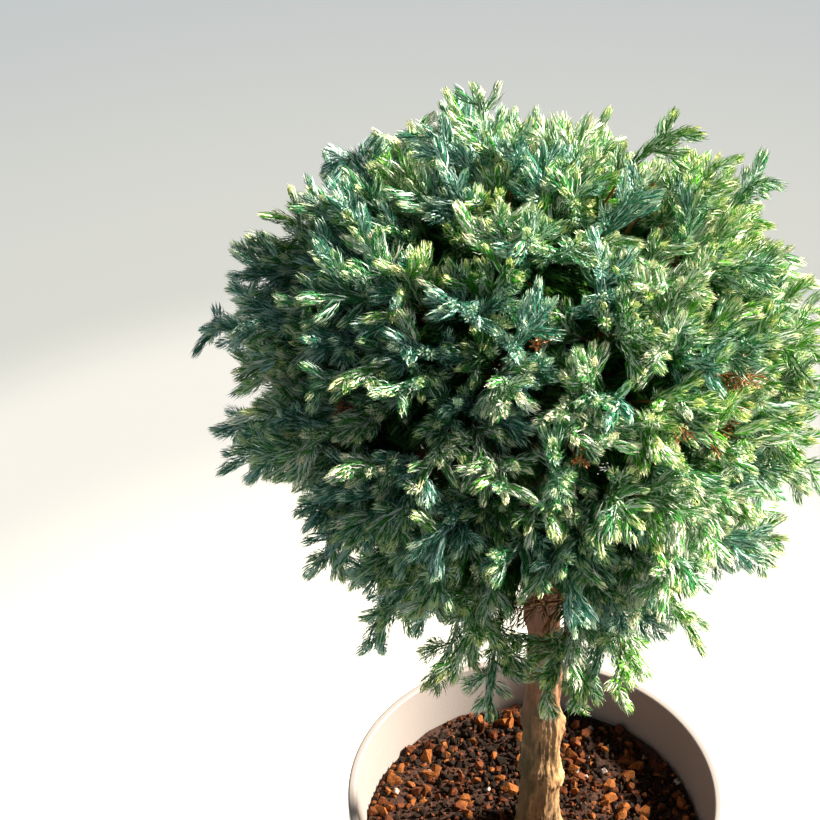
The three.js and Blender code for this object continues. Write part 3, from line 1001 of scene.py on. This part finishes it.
        # Painted light: right measures the sunlit side, towards the key light and up; the shares lean on it
        # and on low.
        right = np.clip((point[0] + 0.3 * point[2] + 20) / TINT_REACH, 0, 1)
        high = np.clip(point[2] / TINT_REACH, -1, 1)
        low = max(-high, 0)
        shares = np.array(list(TINT_SHARES.values())) @ [1, 1 - right, right, high, low]
        shares *= [1 - BLUE_FADE * low if tint in BLUEST else 1 for tint in TINT_SHARES]
        return str(self.random.choice(list(TINT_SHARES), p=shares / shares.sum()))


@functools.lru_cache(maxsize=1)
def crown_for(*sizes):
    return Crown(*sizes)


def grow_crown(settings):
    return crown_for(
        settings.reach / MM,
        settings.reach_variation / MM,
        settings.side_shoots,
        settings.side_length / MM,
        settings.end_length / MM,
        settings.side_angle,
        settings.sag,
    )


def ball_place():
    return BALL_MIDDLE + np.array([STEM_X, 0, STEM_Z])


def chain_host(name, chains, label):
    """An object whose mesh is open chains of edges, each point with one named value."""
    points = np.concatenate([line for line, _ in chains]) + ball_place()
    edges, first = [], 0
    for line, _ in chains:
        ends = np.arange(first, first + len(line) - 1)
        edges.append(np.stack([ends, ends + 1], axis=1))
        first += len(line)
    mesh = bpy.data.meshes.new(name)
    mesh.from_pydata((points * MM).tolist(), np.concatenate(edges).tolist(), [])
    values = np.concatenate([value for _, value in chains]).astype(np.float32)
    attribute = mesh.attributes.new(label, "FLOAT", "POINT")
    attribute.data.foreach_set("value", values)
    return shown(name, mesh)


# Trees


def twig_tree():
    """Round twigs along chains, as thick as each point's girth."""
    grow = Growth("Twigs Along Chains")
    geometry = grow.geometry()
    sides = grow.named_input("Sides", "Int", 4)
    material = grow.named_input("Material", "Material")
    line = grow.add("GeometryNodeMeshToCurve", {}, {"Mesh": geometry})
    ring = grow.add("GeometryNodeCurvePrimitiveCircle", {}, {"Resolution": sides, "Radius": MM})
    tube = grow.add(
        "GeometryNodeCurveToMesh",
        {},
        {"Curve": line, "Profile Curve": ring, "Scale": grow.attribute("girth"), "Fill Caps": True},
    )
    soft = grow.add("GeometryNodeSetShadeSmooth", {}, {"Geometry": tube})
    return grow.result(grow.realized(soft, material))


def needle_tree():
    """Needles along chains: in a close spiral, leaning less and shorter towards the tip, where they
    take the young material."""
    grow = Growth("Needles Along Shoots")
    geometry = grow.geometry()
    needle = grow.named_input("Needle", "Object")
    spacing, long, wide, lean_foot, lean_tip, tip_share = grow.floats(
        Spacing=0.0004, Length=0.006, Width=0.001, Lean_at_Foot=0.6, Lean_at_Tip=0.2, Tip_Share=0.7
    )
    seed = grow.named_input("Seed", "Int", 1)
    body, second, young = [grow.named_input(part, "Material") for part in ("Body", "Second", "Young")]

    line = grow.add("GeometryNodeMeshToCurve", {}, {"Mesh": geometry})
    line = grow.stored(line, "age", grow.add("GeometryNodeSplineParameter"))
    points = grow.add(
        "GeometryNodeCurveToPoints", {"mode": "LENGTH"}, {"Curve": line, "Length": spacing}, "Points"
    )
    clad = grow.stored(points, "chance", grow.random(0.0, 1.0, seed))
    age = grow.attribute("age")
    index = grow.add("GeometryNodeInputIndex")
    spin = index * GOLDEN_ANGLE + grow.random(-0.35, 0.35, seed + 1)
    end = age**4.0
    vigour = grow.attribute("vigour")
    stray = grow.random(-1.0, 1.0, seed + 2) * (0.05 + 0.22 * end)
    lean = lean_foot + (lean_tip - lean_foot) * age * age + stray + (SPRAY_VIGOUR - vigour) * WEAK_SPREAD
    way = Wire(grow, points.socket.node.outputs["Rotation"])
    way = grow.turned(way, (0.0, 0.0, 1.0), spin)
    way = grow.turned(way, (1.0, 0.0, 0.0), lean)
    way = grow.turned(way, (0.0, 0.0, 1.0), grow.random(-0.4, 0.4, seed + 5))
    grown_share = (1.0 - 0.6 * end) * vigour * grow.random(0.86, 1.06, seed + 3)
    size = grow.add(
        "ShaderNodeCombineXYZ",
        {},
        {"X": wide * grow.random(0.85, 1.1, seed + 4), "Y": wide, "Z": long * grown_share},
    )
    shape = grow.add("GeometryNodeObjectInfo", {}, {"Object": needle}, "Geometry")
    needles = grow.add(
        "GeometryNodeInstanceOnPoints",
        {},
        {"Points": clad, "Instance": shape, "Rotation": way, "Scale": size},
    )
    chance = grow.attribute("chance")
    painted = grow.painted(grow.realized(needles, body), second, chance.above(SECOND_FROM))
    is_young = (age + (chance - 0.5) * YOUNG_UNEVENNESS).above(tip_share)
    return grow.result(grow.painted(painted, young, is_young))


def crumb_tree():
    """Crumbs strewn over a surface, turned and sized at random."""
    grow = Growth("Crumbs On Surface")
    geometry = grow.geometry()
    crumbs = grow.named_input("Crumbs", "Collection")
    spacing, smallest, largest, kept = grow.floats(Spacing=0.003, Smallest=0.001, Largest=0.002, Kept=1.0)
    seed = grow.named_input("Seed", "Int", 1)
    material = grow.named_input("Material", "Material")
    points = grow.add(
        "GeometryNodeDistributePointsOnFaces",
        {"distribute_method": "POISSON"},
        {
            "Mesh": geometry,
            "Distance Min": spacing,
            "Density Max": CRUMB_DENSITY,
            "Density Factor": kept,
            "Seed": seed,
        },
    )
    shapes = grow.add(
        "GeometryNodeCollectionInfo",
        {},
        {"Collection": crumbs, "Separate Children": True, "Reset Children": True},
    )
    turn = grow.add(
        "FunctionNodeRandomValue",
        {"data_type": "FLOAT_VECTOR"},
        {"Min": (0.0, 0.0, 0.0), "Max": (6.28, 6.28, 6.28), "Seed": seed + 1},
    )
    share = grow.random(0.0, 1.0, seed + 2)
    strewn = grow.add(
        "GeometryNodeInstanceOnPoints",
        {},
        {
            "Points": points,
            "Instance": shapes,
            "Pick Instance": True,
            "Rotation": turn,
            "Scale": smallest + (largest - smallest) * share * share,
        },
    )
    return grow.result(grow.realized(strewn, material))


# Finishes


def pot_finish(settings):
    finish = Finish("moulded_pot_plastic", roughness=0.46, specular_ior_level=0.45)
    place = finish.place()
    base = tuple(settings.colour)
    mottle = finish.noise(place, 38.0, 4.0)
    scuffs = finish.steps(finish.noise(finish.stretched(place, 1, 1, 9), 55.0, 5.0, 0.7), 0.56, 0.72)
    dust = finish.steps(finish.noise(place, 14.0, 5.0, 0.6), 0.52, 0.8)
    tone = finish.blend(mottle, toned(base, 0.93), toned(base, 1.05))
    tone = finish.blend(scuffs * 0.25, tone, toned(base, 1.2))
    tone = finish.blend(dust * 0.18, tone, linear(150, 122, 96))
    rough = 0.42 + mottle * 0.1 + scuffs * 0.14
    grain = finish.noise(place, 900.0, 2.0) + scuffs * 0.4
    return finish.set(base_color=tone, roughness=rough, normal=finish.bump(grain, 0.12, 0.0004)).material


def crumb_finish(name, shade, rough):
    finish = Finish(name, roughness=rough, specular_ior_level=0.2)
    place = finish.place()
    blot = finish.noise(place, 420.0, 4.0, 0.6)
    pit = finish.cells(place, 1500.0)
    shades = finish.ramp(blot, (0.28, toned(shade, 0.35)), (0.52, shade), (0.78, toned(shade, 1.5)))
    return finish.set(base_color=shades, normal=finish.bump(blot + pit * 0.5, 0.6, 0.0005)).material


def mix_finish(settings):
    finish = Finish("damp_potting_mix", roughness=0.95)
    place = finish.place()
    blot = finish.noise(place, 330.0, 5.0, 0.7)
    tone = finish.blend(blot, linear(30, 19, 14), toned(settings.clay_colour, 0.6))
    grain = finish.noise(place, 420.0, 6.0)
    return finish.set(base_color=tone, normal=finish.bump(grain, 1.0, 0.002)).material


def bark_finish(name, settings, weathered=True, tone_share=1.0):
    """Stringy bark; weathered bark also has olive algae patches, spread over its -X side away from the key
    light as painted shade, and turns redder higher up.
    """
    finish = Finish(name, roughness=0.82)
    ridge = toned(settings.light_colour, tone_share)
    furrow = toned(settings.dark_colour, tone_share)
    place = finish.place()
    strings = finish.noise(finish.stretched(place, 1, 1, 0.16), 620.0, 5.0, 0.62, 0.6)
    patch = finish.noise(place, 62.0, 4.0, 0.6)
    fine = finish.noise(finish.stretched(place, 1, 1, 0.3), 2100.0, 3.0)
    share = strings * 0.45 + patch * 0.55
    tone = finish.ramp(share, (0.38, furrow), (0.5, toned(ridge, 0.62)), (0.62, ridge))
    if weathered:
        # Painted shade: the olive algae film grows towards the stem's -X side, away from the key light, to
        # darken it.
        shaded = STEM_X * MM - finish.along(place, "X")
        film = finish.steps(finish.noise(place, 60.0, 4.0, 0.55, 0.4) + shaded * ALGAE_AND_SHADE_SIDE, 0.46, 0.62)
        tone = finish.blend(film * 0.85, tone, tuple(settings.moss_colour))
        upper = finish.steps(finish.along(place, "Z") + (patch - 0.5) * 0.05, *UPPER_BARK)
        redder = finish.blend(strings, tuple(settings.dark_colour), tuple(settings.upper_colour))
        tone = finish.blend(upper * 0.75, tone, redder)
    lichen = finish.steps(finish.noise(place, 150.0, 4.0, 0.6), 0.63, 0.72)
    tone = finish.blend(lichen * 0.4, tone, linear(168, 160, 140))
    grain = finish.bump(strings + fine * 0.35, 0.7, 0.0006)
    return finish.set(base_color=tone, roughness=0.74 + strings * 0.18, normal=grain).material


def twig_finish(name, shade):
    return Finish(name, base_color=tuple(shade), roughness=0.7, specular_ior_level=0.35).material


def needle_finish(name, shade, sheen):
    """Waxy needles. Their colours are plain, because they are dealt out by spray."""
    return Finish(name, base_color=linear(*shade), roughness=sheen, specular_ior_level=0.5).material


# Pieces


def inner_radius(pot, height):
    share = (height - pot.wall) / (pot.height - pot.wall)
    return mix(pot.foot_radius - pot.wall, pot.rim_radius - pot.lip_width, share)


def pot_outline(pot):
    """The wall's closed section from the middle of the underside round to the middle of the floor."""
    lip_foot = pot.height - pot.lip_depth
    wall, rim, high, rounding = pot.wall, pot.rim_radius, pot.height, POT_ROUNDING * MM
    inner = functools.partial(inner_radius, pot)
    outline = [(0.0, 0.0), (pot.foot_radius * 0.5, 0.0), (pot.foot_radius - 2.2 * rounding, 0.0)]
    outline += corner((pot.foot_radius, 0.0), rounding, -90, 0, 5)
    outline += [(inner(h) + wall, h) for h in np.linspace(3 * rounding, lip_foot - 1.6 * rounding, 9)]
    under_lip = inner(lip_foot) + wall
    outline += [(under_lip + 0.0004, lip_foot - 0.0004), (under_lip + 0.0012, lip_foot)]
    outline += corner((rim, lip_foot), rounding, -90, 0, 4)
    outline += corner((rim, high), rounding, 0, 90, 6)
    outline += corner((inner(high), high), rounding, 90, 180, 6)
    outline += [(inner(h), h) for h in np.linspace(high - 3 * rounding, wall + 3 * rounding, 9)]
    outline += [(inner(wall) - 0.0012, wall + 0.0003), (pot.foot_radius * 0.5, wall), (0.0, wall)]
    return outline


def corner(point, rounding, start, end, steps):
    """A rounded corner of the section: an arc inside a corner point, from one bearing to another."""
    first, last = math.radians(start), math.radians(end)
    inwards_x = -1 if math.cos((first + last) / 2) > 0 else 1
    inwards_z = -1 if math.sin((first + last) / 2) > 0 else 1
    middle = (point[0] + inwards_x * rounding, point[1] + inwards_z * rounding)
    return [
        (middle[0] + rounding * math.cos(turn), middle[1] + rounding * math.sin(turn))
        for turn in np.linspace(first, last, steps)
    ]


def lathe(name, outline, sides, material):
    """Turns a section round the Z axis; points on the axis are held once."""
    form = bmesh.new()
    rows = []
    for radius, height in outline:
        if radius < 1e-9:
            rows.append([form.verts.new((0, 0, height))] * sides)
        else:
            rows.append(
                [
                    form.verts.new((radius * math.cos(t), radius * math.sin(t), height))
                    for t in np.linspace(0, 2 * math.pi, sides, endpoint=False)
                ]
            )
    for low, high in zip(rows, rows[1:]):
        for i in range(sides):
            ring = [low[i], low[(i + 1) % sides], high[(i + 1) % sides], high[i]]
            form.faces.new(list(dict.fromkeys(ring)))
    bmesh.ops.recalc_face_normals(form, faces=form.faces)
    mesh = mesh_of(name, form)
    mesh.materials.append(material)
    for face in mesh.polygons:
        face.use_smooth = True
    return shown(name, mesh)


def ring_faces(rings, sides, flipped=False):
    """Faces that join each ring of points to the next, or the same faces turned the other way."""
    faces = []
    for low in range(0, (rings - 1) * sides, sides):
        high = low + sides
        for i in range(sides):
            j = (i + 1) % sides
            if flipped:
                faces.append((low + i, high + i, high + j, low + j))
            else:
                faces.append((low + i, low + j, high + j, high + i))
    return faces


def tube_between(rings):
    """Faces that join rings of points in order, with a fan over each end."""
    sides = len(rings[0])
    points = [p for ring in rings for p in ring]
    faces = ring_faces(len(rings), sides)
    points += [np.mean(rings[0], axis=0), np.mean(rings[-1], axis=0)]
    last = (len(rings) - 1) * sides
    for i in range(sides):
        j = (i + 1) % sides
        faces.append((j, i, len(points) - 2))
        faces.append((last + i, last + j, len(points) - 1))
    return points, faces


def fibre(x, y, z):
    return noise.fractal(Vector((x, y, z)), 0.6, 2.1, 4)


def bark_relief(x, y, height):
    """Stringy furrows, threads, flakes and burrs, in depths of relief."""
    wander = 0.35 * noise.noise(Vector((x, y, height * 0.03)) * 1.3)
    strings = noise.noise(Vector((x * 5.2 + wander, y * 5.2 - wander, height * 0.055)))
    threads = fibre(x * 11.0, y * 11.0, height * 0.12)
    flakes = max(0.0, noise.noise(Vector((x * 2.4, y * 2.4, height * 0.045 + 7))) - 0.1)
    burrs = noise.fractal(Vector((x * 2.0, y * 2.0, height * 0.13 + 3)), 0.7, 2.0, 4)
    return 0.85 * strings + 0.5 * threads + 1.6 * flakes + 0.8 * burrs


def scar_relief(radius, height, turn):
    """The scars of the knots: each a dent with a raised lip round it."""
    relief = 0.0
    for knot_height, bearing, _, _ in KNOTS:
        gap = math.remainder(turn - math.radians(bearing), 2 * math.pi) * radius
        far = math.hypot(gap, height - knot_height)
        relief += SCAR_LIP * math.exp(-(((far - SCAR_LIP_RADIUS) / SCAR_LIP_WIDTH) ** 2))
        relief -= SCAR_DEPTH * math.exp(-((far / SCAR_WIDTH) ** 2))
    return relief


def stem_rings(wood, sides=120, rings=420):
    """The stem's rings: the rule's radius with the bark's relief, which fades out at its tip."""
    made = []
    for r in range(rings + 1):
        height = STEM_HEIGHT * (r / rings)
        middle = stem_middle(height)
        ring = []
        for s in range(sides):
            turn = 2 * math.pi * s / sides
            radius = stem_radius(height, turn, wood.foot_radius / MM)
            x, y = math.cos(turn), math.sin(turn)
            rough = wood.relief / MM * bark_relief(x, y, height) + scar_relief(radius, height, turn)
            fade = min(1.0, (STEM_HEIGHT - height) / 6 + 0.2)
            ring.append(middle + np.array([x, y, 0.0]) * (radius + rough * fade))
        made.append(np.array(ring) + np.array([STEM_X, 0, STEM_Z]))
    return made


def bough_rings(way, leaves, base, relief, sides=18, steps=30):
    """One bough's rings from inside the stem to its tip: tapered, jointed and furrowed."""
    start = stem_middle(BALL_MIDDLE[2] + leaves) - BALL_MIDDLE
    end = way * BOUGH_REACH
    knee = end - way * BOUGH_RUN_OUT
    made = []
    for r in range(steps + 1):
        t = r / steps
        middle = start * (1 - t) ** 2 + 2 * knee * t * (1 - t) + end * t * t
        along = unit(2 * (knee - start) * (1 - t) + 2 * (end - knee) * t)
        across, over = sides_of(along)
        radius = mix(base, BOUGH_TIP_RADIUS, t) + BOUGH_JOINT_SWELLING * math.cos(BOUGH_JOINTS * t) ** 2
        radius += 1.1 * math.exp(-t * 14)
        ring = []
        for s in range(sides):
            turn = 2 * math.pi * s / sides
            rough = 0.6 * relief * fibre(math.cos(turn) * 3 + base, math.sin(turn) * 3 + leaves, t * 5)
            ring.append(middle + turned_towards(across, over, turn) * (radius + rough))
        made.append(np.array(ring) + ball_place())
    return made


def needle_shape(material):
    """One needle along Z, a unit long and wide: an awl-shaped blade that flares from its foot and
    curves back in."""
    mesh = bpy.data.meshes.new("needle_shape")
    points = [(0, 0, 0), (-0.5, -1.4, 0.5), (0.5, -1.4, 0.5), (0, 0.9, 1)]
    mesh.from_pydata(points, [], [(0, 2, 1), (1, 2, 3)], shade_flat=False)
    mesh.materials.append(material)
    return bpy.data.objects.new("needle_shape", mesh)


def crumb_shapes(material, corners, squash, number_of=6):
    """A few broken crumbs about two units across, in a collection of their own."""
    random = np.random.default_rng(corners)
    group = bpy.data.collections.new("crumbs")
    for i in range(number_of):
        form = bmesh.new()
        for corner_way in random.normal(0, 1, (corners, 3)):
            stretch = np.array([random.uniform(0.9, 1.4), 1.0, squash])
            form.verts.new(unit(corner_way) * stretch * random.uniform(0.75, 1.05))
        hull = bmesh.ops.convex_hull(form, input=form.verts)
        bmesh.ops.delete(form, geom=hull["geom_unused"], context="VERTS")
        bmesh.ops.recalc_face_normals(form, faces=form.faces)
        mesh = mesh_of(f"crumb_{i}", form)
        mesh.materials.append(material)
        group.objects.link(bpy.data.objects.new(f"crumb_{i}", mesh))
    return group


def mix_surface(pot):
    """The mix's uneven top, from the stem out to the wall, on which the crumbs are strewn."""
    top = pot.height - MIX_BELOW_RIM * MM
    edge = (inner_radius(pot, top) - 0.002) / MM
    rings, sides = 18, 64
    points = []
    for r in range(rings + 1):
        radius = mix(6.0, edge, r / rings)
        for s in range(sides):
            turn = 2 * math.pi * s / sides
            x, y = radius * math.cos(turn), radius * math.sin(turn)
            heap = 1.6 * noise.noise(Vector((x, y, 3)) * 0.05) + 0.9 * noise.noise(Vector((x, y, 9)) * 0.14)
            points.append((x + STEM_X * (1 - r / rings), y, top / MM + 0.9 + heap))
    return points, ring_faces(rings + 1, sides, flipped=True)


# Operators


class TOPIARY_OT_pot(bpy.types.Operator):
    """Turn the pot's thin wall with its rounded lip, and cut the drain holes"""

    bl_idname = "topiary.pot"
    bl_label = "Pot"

    def execute(self, context):
        settings = context.scene.topiary_pot
        material = pot_finish(settings)
        shell = lathe("pot_shell", pot_outline(settings), POT_SIDES, material)
        cutters = bmesh.new()
        circle, radius = DRAIN_CIRCLE * MM, DRAIN_RADIUS * MM
        for i in range(DRAIN_HOLES):
            turn = 2 * math.pi * i / DRAIN_HOLES
            place = Matrix.Translation((circle * math.cos(turn), circle * math.sin(turn), 0))
            bmesh.ops.create_cone(
                cutters, cap_ends=True, segments=24, radius1=radius, radius2=radius, depth=0.01, matrix=place
            )
        cutter = shown("drain_cutter", mesh_of("drain_cutter", cutters))
        cut = shell.modifiers.new("drain", "BOOLEAN")
        cut.object = cutter
        cut.solver = "EXACT"
        graph = context.evaluated_depsgraph_get()
        mesh = bpy.data.meshes.new_from_object(shell.evaluated_get(graph))
        shell.modifiers.remove(cut)
        shell.data = mesh
        mesh.name = "pot_shell"
        bpy.data.objects.remove(cutter)
        joined(shell, "pot", "pot")
        return {"FINISHED"}


class TOPIARY_OT_mix(bpy.types.Operator):
    """Fill the pot and strew crumbs of bark, clay, peat and grit over the mix"""

    bl_idname = "topiary.mix"
    bl_label = "Potting Mix"

    def execute(self, context):
        pot, settings = context.scene.topiary_pot, context.scene.topiary_mix
        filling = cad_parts["potting_mix"]
        body = mix_finish(settings)
        for slot in filling.material_slots:
            slot.material = body
        tree = crumb_tree()
        apart, close = settings.spacing, settings.fine_spacing
        # Name, colour, roughness, spacing, smallest, largest, share kept, corners and squash.
        kinds = (
            ("bark_chips", settings.bark_colour, 0.85, apart, 0.0013, 0.0044, 0.36, 16, 0.6),
            ("clay_grains", settings.clay_colour, 0.85, apart, 0.0010, 0.0034, 0.5, 22, 0.8),
            ("peat_crumbs", settings.peat_colour, 0.95, close, 0.0006, 0.0026, 0.95, 14, 0.7),
            ("fine_crumbs", settings.clay_colour, 0.9, close, 0.0004, 0.0013, 0.6, 9, 0.7),
            ("grit_grains", settings.grit_colour, 0.8, apart, 0.0009, 0.0021, 0.06, 16, 0.8),
        )
        points, faces = mix_surface(pot)
        for seed, kind in enumerate(kinds):
            name, shade, rough, spacing, smallest, largest, kept, corners, squash = kind
            material = crumb_finish(name + "_finish", tuple(shade), rough)
            shapes = crumb_shapes(material, corners, squash)
            host = solid("mix_surface", points, faces, material)
            strewn = grown(
                host, tree, name, Crumbs=shapes, Spacing=spacing, Smallest=smallest, Largest=largest,
                Kept=kept, Seed=seed * 17 + 3, Material=material,
            )
            joined(strewn, "potting_mix")
        return {"FINISHED"}


class TOPIARY_OT_wood(bpy.types.Operator):
    """Model the stem and boughs with the bark's relief"""

    bl_idname = "topiary.wood"
    bl_label = "Stem and Boughs"

    def execute(self, context):
        settings = context.scene.topiary_wood
        points, faces = tube_between(stem_rings(settings))
        stem = solid("stem_bark", points, faces, bark_finish("stem_bark_finish", settings))
        joined(stem, "bark", "trunk")
        points, faces = [], []
        limbs = [row for row in list_masses() if row[2] is not None]
        for name, way, leaves, base in limbs:
            own, rings = tube_between(bough_rings(way, leaves, base, settings.relief / MM))
            faces += [tuple(i + len(points) for i in face) for face in rings]
            points += list(own)
        boughs = solid("bough_bark", points, faces, bark_finish("bough_bark_finish", settings, False, 0.4))
        joined(boughs, "bark", *[f"bough_{name}" for name, _, _, _ in limbs])
        return {"FINISHED"}


class TOPIARY_OT_twigs(bpy.types.Operator):
    """Grow the woody twigs and the green stems of the shoots"""

    bl_idname = "topiary.twigs"
    bl_label = "Twigs"

    def execute(self, context):
        scene = context.scene
        crown = grow_crown(scene.topiary_crown)
        tree = twig_tree()
        woody = grown(
            chain_host("woody_chains", crown.wood, "girth"), tree, "woody_twigs",
            Sides=5, Material=twig_finish("twig_bark", scene.topiary_wood.twig_colour),
        )
        green = grown(
            chain_host("green_chains", crown.green_wood, "girth"), tree, "green_stems",
            Sides=3, Material=twig_finish("green_stem", linear(96, 118, 62)),
        )
        joined(woody, "bark")
        joined(green, "needles")
        return {"FINISHED"}


class TOPIARY_OT_needles(bpy.types.Operator):
    """Clothe every shoot in needles, dealt out by spray in the crown's tints"""

    bl_idname = "topiary.needles"
    bl_label = "Needles"

    def execute(self, context):
        settings = context.scene.topiary_needles
        crown = grow_crown(context.scene.topiary_crown)
        tree = needle_tree()
        masses = [f"foliage_{name}" for name, _, _, _ in crown.masses]
        for seed, tint in enumerate(NEEDLE_TINTS):
            body, second, young = [
                needle_finish(f"needle_{tint}_{part}", shade, sheen)
                for (part, sheen), shade in zip(NEEDLE_PARTS, TINT_COLOURS[tint])
            ]
            shape = needle_shape(body)
            size = settings.shade_size if tint == "inner" else 1.0
            gap = settings.spacing * (DEAD_GAP if tint == "dead" else size**2)
            made = grown(
                chain_host("shoot_chains", crown.needles[tint], "vigour"), tree, f"needles_{tint}",
                Needle=shape, Spacing=gap, Length=settings.length * size, Width=settings.width * size,
                Lean_at_Foot=settings.lean_foot, Lean_at_Tip=settings.lean_tip,
                Tip_Share=settings.tip_share, Seed=seed * 31 + 5, Body=body, Second=second, Young=young,
            )
            joined(made, "needles", *masses)
        return {"FINISHED"}


class TOPIARY_OT_stage(bpy.types.Operator):
    """Lay the plain floor, and place the soft lights and the camera"""

    bl_idname = "topiary.stage"
    bl_label = "Stage"

    def execute(self, context):
        settings = context.scene.topiary_stage
        finish = Finish("plain_floor", roughness=0.9, specular_ior_level=0.2)
        away = finish.add("ShaderNodeVectorMath", {"operation": "LENGTH"}, {0: finish.place()}, "Value")
        shade = tuple(settings.floor_colour)
        # Painted shade: the floor darkens in steps away from the plant.
        for turn, further in (
            (FLOOR_NEAR, settings.near_colour),
            (FLOOR_INNER, settings.mid_colour),
            (FLOOR_OUTER, settings.far_colour),
        ):
            shade = finish.blend(finish.steps(away, *turn), shade, tuple(further))
        finish.set(base_color=shade)
        far = FLOOR_HALF / MM
        corners = [(-far, -far, 0), (far, -far, 0), (far, far, 0), (-far, far, 0)]
        solid("floor", corners, [(0, 1, 2, 3)], finish.material)
        key = self.add_light(context, "key_light", "SUN", KEY_PLACE, settings.key_strength, KEY_COLOUR)
        key.angle = settings.key_width
        fill = self.add_light(context, "front_fill", "AREA", FILL_PLACE, settings.fill_power, FILL_COLOUR)
        fill.shape, fill.size = "DISK", FILL_SIZE
        world = bpy.data.worlds.new("soft_surroundings")
        context.scene.world = world
        world.use_nodes = True
        backing = world.node_tree.nodes["Background"]
        backing.inputs["Color"].default_value = WORLD_COLOUR
        backing.inputs["Strength"].default_value = settings.fill_strength
        self.add_camera(context)
        view = context.scene.view_settings
        view.view_transform = "Standard"
        view.look = "None"
        return {"FINISHED"}

    @staticmethod
    def add_light(context, name, kind, place, strength, shade):
        light = bpy.data.lights.new(name, kind)
        light.energy, light.color = strength, shade
        lamp = bpy.data.objects.new(name, light)
        lamp.location = place
        lamp.rotation_euler = (Vector(LIGHT_AIM) - Vector(place)).to_track_quat("-Z", "Y").to_euler()
        context.scene.collection.objects.link(lamp)
        return light

    @staticmethod
    def add_camera(context):
        lens = bpy.data.cameras.new("camera")
        lens.sensor_width = SENSOR_WIDTH
        lens.lens = FOCAL_PIXELS / PICTURE_PIXELS * SENSOR_WIDTH
        lens.clip_start, lens.clip_end = CLIP_START, CLIP_END
        camera = bpy.data.objects.new("camera", lens)
        camera.location = CAMERA_PLACE
        camera.rotation_euler = (math.radians(90 - CAMERA_DOWN), 0.0, 0.0)
        context.scene.collection.objects.link(camera)
        context.scene.camera = camera


class TOPIARY_PT_panel(bpy.types.Panel):
    """The topiary's pieces, in the order in which they are made"""

    bl_idname = "TOPIARY_PT_panel"
    bl_label = "Ball Topiary"
    bl_space_type = "VIEW_3D"
    bl_region_type = "UI"
    bl_category = "Topiary"

    def draw(self, context):
        scene = context.scene
        for operator, group in OPERATORS_AND_GROUPS:
            box = self.layout.box()
            box.operator(operator.bl_idname)
            for name in group.__annotations__:
                box.prop(getattr(scene, SCENE_PROPERTIES[group]), name)


SCENE_PROPERTIES = {
    PotSettings: "topiary_pot",
    MixSettings: "topiary_mix",
    WoodSettings: "topiary_wood",
    CrownSettings: "topiary_crown",
    NeedleSettings: "topiary_needles",
    StageSettings: "topiary_stage",
}
OPERATORS_AND_GROUPS = (
    (TOPIARY_OT_pot, PotSettings),
    (TOPIARY_OT_mix, MixSettings),
    (TOPIARY_OT_wood, WoodSettings),
    (TOPIARY_OT_twigs, CrownSettings),
    (TOPIARY_OT_needles, NeedleSettings),
    (TOPIARY_OT_stage, StageSettings),
)


def register():
    for group, name in SCENE_PROPERTIES.items():
        bpy.utils.register_class(group)
        setattr(bpy.types.Scene, name, bpy.props.PointerProperty(type=group))
    for operator, _ in OPERATORS_AND_GROUPS:
        bpy.utils.register_class(operator)
    bpy.utils.register_class(TOPIARY_PT_panel)


def unregister():
    bpy.utils.unregister_class(TOPIARY_PT_panel)
    for operator, _ in OPERATORS_AND_GROUPS:
        bpy.utils.unregister_class(operator)
    for group, name in SCENE_PROPERTIES.items():
        delattr(bpy.types.Scene, name)
        bpy.utils.unregister_class(group)


def main():
    register()
    bpy.ops.topiary.pot()
    bpy.ops.topiary.mix()
    bpy.ops.topiary.wood()
    bpy.ops.topiary.twigs()
    bpy.ops.topiary.needles()
    bpy.ops.topiary.stage()


if __name__ == "__main__":
    main()
